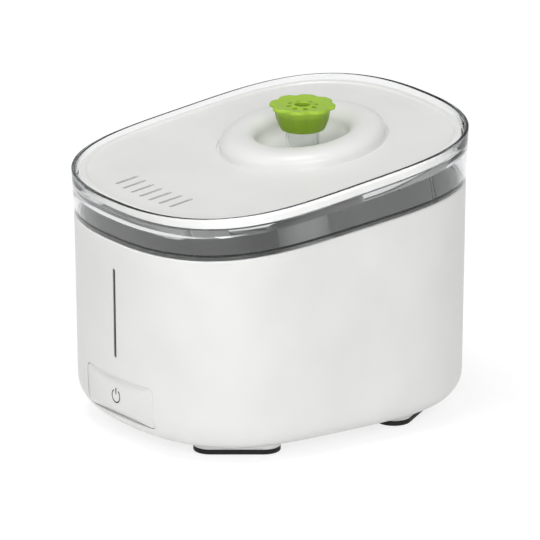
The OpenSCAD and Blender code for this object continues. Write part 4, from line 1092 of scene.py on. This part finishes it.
# Flow tube and flower cap
tube = {"bottom": 88.8, "length": 87, "radius": 9.5, "wall": 1.5, "flare": 11.25, "marks": 12,
        "markPitch": 4.7, "markHeight": 1.2, "markThickness": 0.16, "markSweep": 70, "firstMark": 24}
cap = {"z": 165.1, "height": 15, "petalRadius": 19.25, "petals": 8, "petalDepth": 2.2, "topRadius": 16,
       "bottomRadius": 13, "socket": 11.55, "socketDepth": 11, "dripCircle": 8, "dripHole": 3,
       "middleHole": 4.5}


def makeTube():
    t, y0 = tube, pump["axisY"]
    r, f, w, h = t["radius"], t["flare"], t["wall"], t["length"]
    shape = rounded([(r - w, 0), (r, 0), (r, h - 6), (f, h - 2), (f, h), (f - w, h), (f - w, h - 2),
                     (r - w, h - 6)], [0.5, 0.5, 5, 2.5, 0.6, 0.6, 2.5, 5], 6)
    finished(turned("flowTube", shape, (0, y0, t["bottom"]), 128), "flow_tube", "clear_tube", "tube",
             ["flow_tube"], 40)
    sweep, height, thick = radians(t["markSweep"]), t["markHeight"], t["markThickness"]
    marks = repeated("tubeScale", "marks", None, (0, y0, t["bottom"] + h - t["firstMark"] + height / 2),
                     Count=t["marks"], Pitch=t["markPitch"] * mm, Radius=(r + thick / 2) * mm, Start=-sweep,
                     Sweep=sweep, Height=height * mm, Thickness=thick * mm, Finish=finishes["ink"])
    finished(marks, "flow_tube", "scale_ink", "ink", ["tube_scale"])


# Ring with a dent of the depth given between its petals; a higher power makes the dents narrower
def petalRing(radius, depth, z, power=4, steps=288):
    points = []
    for c, s in circlePoints(steps):
        a = 2 * pi * len(points) / steps
        r = radius - depth * abs(sin(cap["petals"] * a / 2)) ** power
        points.append((r * c, pump["axisY"] + r * s, z))
    return points


def makeCap():
    c, z, y0 = cap, cap["z"], pump["axisY"]
    top, r, dent, hole = z + c["height"], c["petalRadius"], c["petalDepth"], c["middleHole"]
    big, small, socket, deep = c["topRadius"], c["bottomRadius"], c["socket"], c["socketDepth"]
    rings = [petalRing(radius, depth, z + rise, 2) for radius, depth, rise in (
        (8, 0, deep), (socket - 0.3, 0, deep), (socket, 0, deep - 0.3), (socket, 0, 0.4),
        (socket + 0.3, 0, 0), (small - 0.8, 0, 0), (small - 0.3, 0.1, 0.2), (small, 0.25, 0.6))]
    for k in range(1, 10):                                      # the cup's side swells like a bowl
        t = k / 9
        rings.append(petalRing(small + (big - small) * sin(pi / 2 * t) ** 0.9, 0.25 + 0.8 * t,
                               z + 0.6 + (c["height"] - 3.4) * t, 6))
    rings += [petalRing(radius, depth, top - drop) for radius, depth, drop in (
        (r - 0.9, dent, 2.4), (r - 0.25, dent, 2.1), (r, dent, 1.5), (r - 0.1, dent, 0.8),
        (r - 0.5, dent, 0.25), (r - 1.2, 2.1, 0), (r - 3, 1.9, 0.15), (r - 6, 1.2, 0.9), (r - 9, 0.5, 1.3),
        (7.5, 0, 1.2), (6, 0, 0.6), (hole + 0.5, 0, 0.5), (hole, 0, 0.9))]
    rings += [petalRing(hole, 0, z + deep + 0.3), petalRing(hole + 0.3, 0, z + deep)]
    body = loft("flowerCap", rings, looped=True)
    wide = c["dripHole"]
    drip = prism("dripHole", roundRect(wide, wide, wide / 2 - 0.01, 8), 0, 14)
    holes = repeated("dripHoles", "radial", drip, (0, y0, z + 5), Count=c["petals"],
                     Radius=c["dripCircle"] * mm, Start=pi / c["petals"])
    finished(carve(body, [holes]), "flower_cap", "cap_green", "cap", ["flower_cap"], 40)
    print("tube and cap done")


makeTube()
makeCap()

# Pieces that keep their solids and take a finish
plain = {"cover": ("bay_cover", "arm_cover"), "steel": ("cover_screws",), "board": ("circuit_board",),
         "black": ("push_switch", "power_inlet", "float_sensor", "level_strip"),
         "coilY": ("supply_coil", "pickup_coil"), "coilX": ("stator_coil",), "core": ("stator_core",),
         "ferrite": ("coil_core", "float_magnet", "rotor_magnet"), "float": ("impeller",),
         "grey": ("switch_plunger", "chamber_plate", "flow_slider"), "shaft": ("impeller_shaft",)}
for finish, names in plain.items():
    for name in names:
        nodes[name].data.materials.clear()
        nodes[name].data.materials.append(finishes[finish])
print("carried-over pieces finished:", sum(len(names) for names in plain.values()))

# Floor, lights and camera, in metres but for the floor; each lamp has its power, its size and its place
studio = {"azimuth": 55, "elevation": 17.5, "distance": 8.0, "frameWidth": 0.31, "target": (0.0, 0.0, 0.084),
          "sensor": 36, "floorHalf": 60000, "floorCode": "#F4F4F4", "floorShare": 0.62, "floorGlow": 1.22,
          "world": 0.36, "aim": (0, 0, 0.1),
          "lamps": {"keyLight": (15.5, 1.2, (1.8, -0.9, 0.8)), "fillLight": (4.0, 1.4, (-0.1, -1.8, 0.9)),
                    "topLight": (16.0, 0.9, (0.1, -0.5, 2.1)), "backLight": (6.0, 1.2, (-1.4, 1.5, 0.8))}}


def clearedTree(owner):
    owner.use_nodes = True
    owner.node_tree.nodes.clear()
    return owner.node_tree, addNode(owner.node_tree, "ShaderNodeLightPath").outputs


def makeFloor():
    s, h = studio, studio["floorHalf"]
    floor = newMesh("studioFloor", [(-h, -h, 0), (h, -h, 0), (h, h, 0), (-h, h, 0)], [(0, 1, 2, 3)], False)
    material = bpy.data.materials.new("paleFloor")
    tree, path = clearedTree(material)
    seen = maths(tree, "MAXIMUM", path["Is Camera Ray"], path["Is Glossy Ray"])
    seen = maths(tree, "MAXIMUM", seen, path["Is Transmission Ray"])
    share = maths(tree, "MULTIPLY", seen, s["floorShare"])
    paint = wired(tree, "ShaderNodeBsdfDiffuse", None, Color=linear(s["floorCode"]))
    glow = wired(tree, "ShaderNodeEmission", None, Color=(1, 1, 1, 1), Strength=s["floorGlow"])
    mix = wired(tree, "ShaderNodeMixShader", None, n0=share, n1=paint, n2=glow)
    tree.links.new(mix, tree.nodes.new("ShaderNodeOutputMaterial").inputs[0])
    floor.data.materials.append(material)


def makeWorld():
    world = bpy.data.worlds.new("studioWorld")
    bpy.context.scene.world = world
    tree, path = clearedTree(world)
    seen = maths(tree, "MAXIMUM", path["Is Camera Ray"], path["Is Transmission Ray"])
    level = wired(tree, "ShaderNodeMapRange", None, Value=seen, FromMin=0.0, FromMax=1.0,
                  ToMin=studio["world"], ToMax=1.0)
    sky = wired(tree, "ShaderNodeBackground", None, Color=(1, 1, 1, 1), Strength=level)
    tree.links.new(sky, tree.nodes.new("ShaderNodeOutputWorld").inputs[0])


# Puts a lamp or the camera at a place, turned so that it looks along the direction given
def aimed(name, data, place, direction):
    thing = placed(name, data)
    thing.location = place
    thing.rotation_mode = "QUATERNION"
    thing.rotation_quaternion = direction.to_track_quat("-Z", "Y")
    return thing


def makeLamps():
    for name, (power, size, place) in studio["lamps"].items():
        data = bpy.data.lights.new(name, "AREA")
        data.energy, data.shape, data.size = power, "DISK", size
        lamp = aimed(name, data, place, Vector(studio["aim"]) - Vector(place))
        if name == "backLight":                                 # no glare in the clear tank
            lamp.visible_glossy = lamp.visible_transmission = False


def makeCamera():
    s = studio
    a, e = radians(s["azimuth"]), radians(s["elevation"])
    back = Vector((sin(a) * cos(e), -cos(a) * cos(e), sin(e)))
    data = bpy.data.cameras.new("camera")
    data.sensor_width = s["sensor"]
    data.lens = s["sensor"] * s["distance"] / s["frameWidth"]
    data.clip_start, data.clip_end = 0.5, 60
    bpy.context.scene.camera = aimed("camera", data, Vector(s["target"]) + back * s["distance"], -back)


makeFloor()
makeWorld()
makeLamps()
makeCamera()
bpy.context.scene.view_settings.view_transform = "Standard"

print("scene ready")
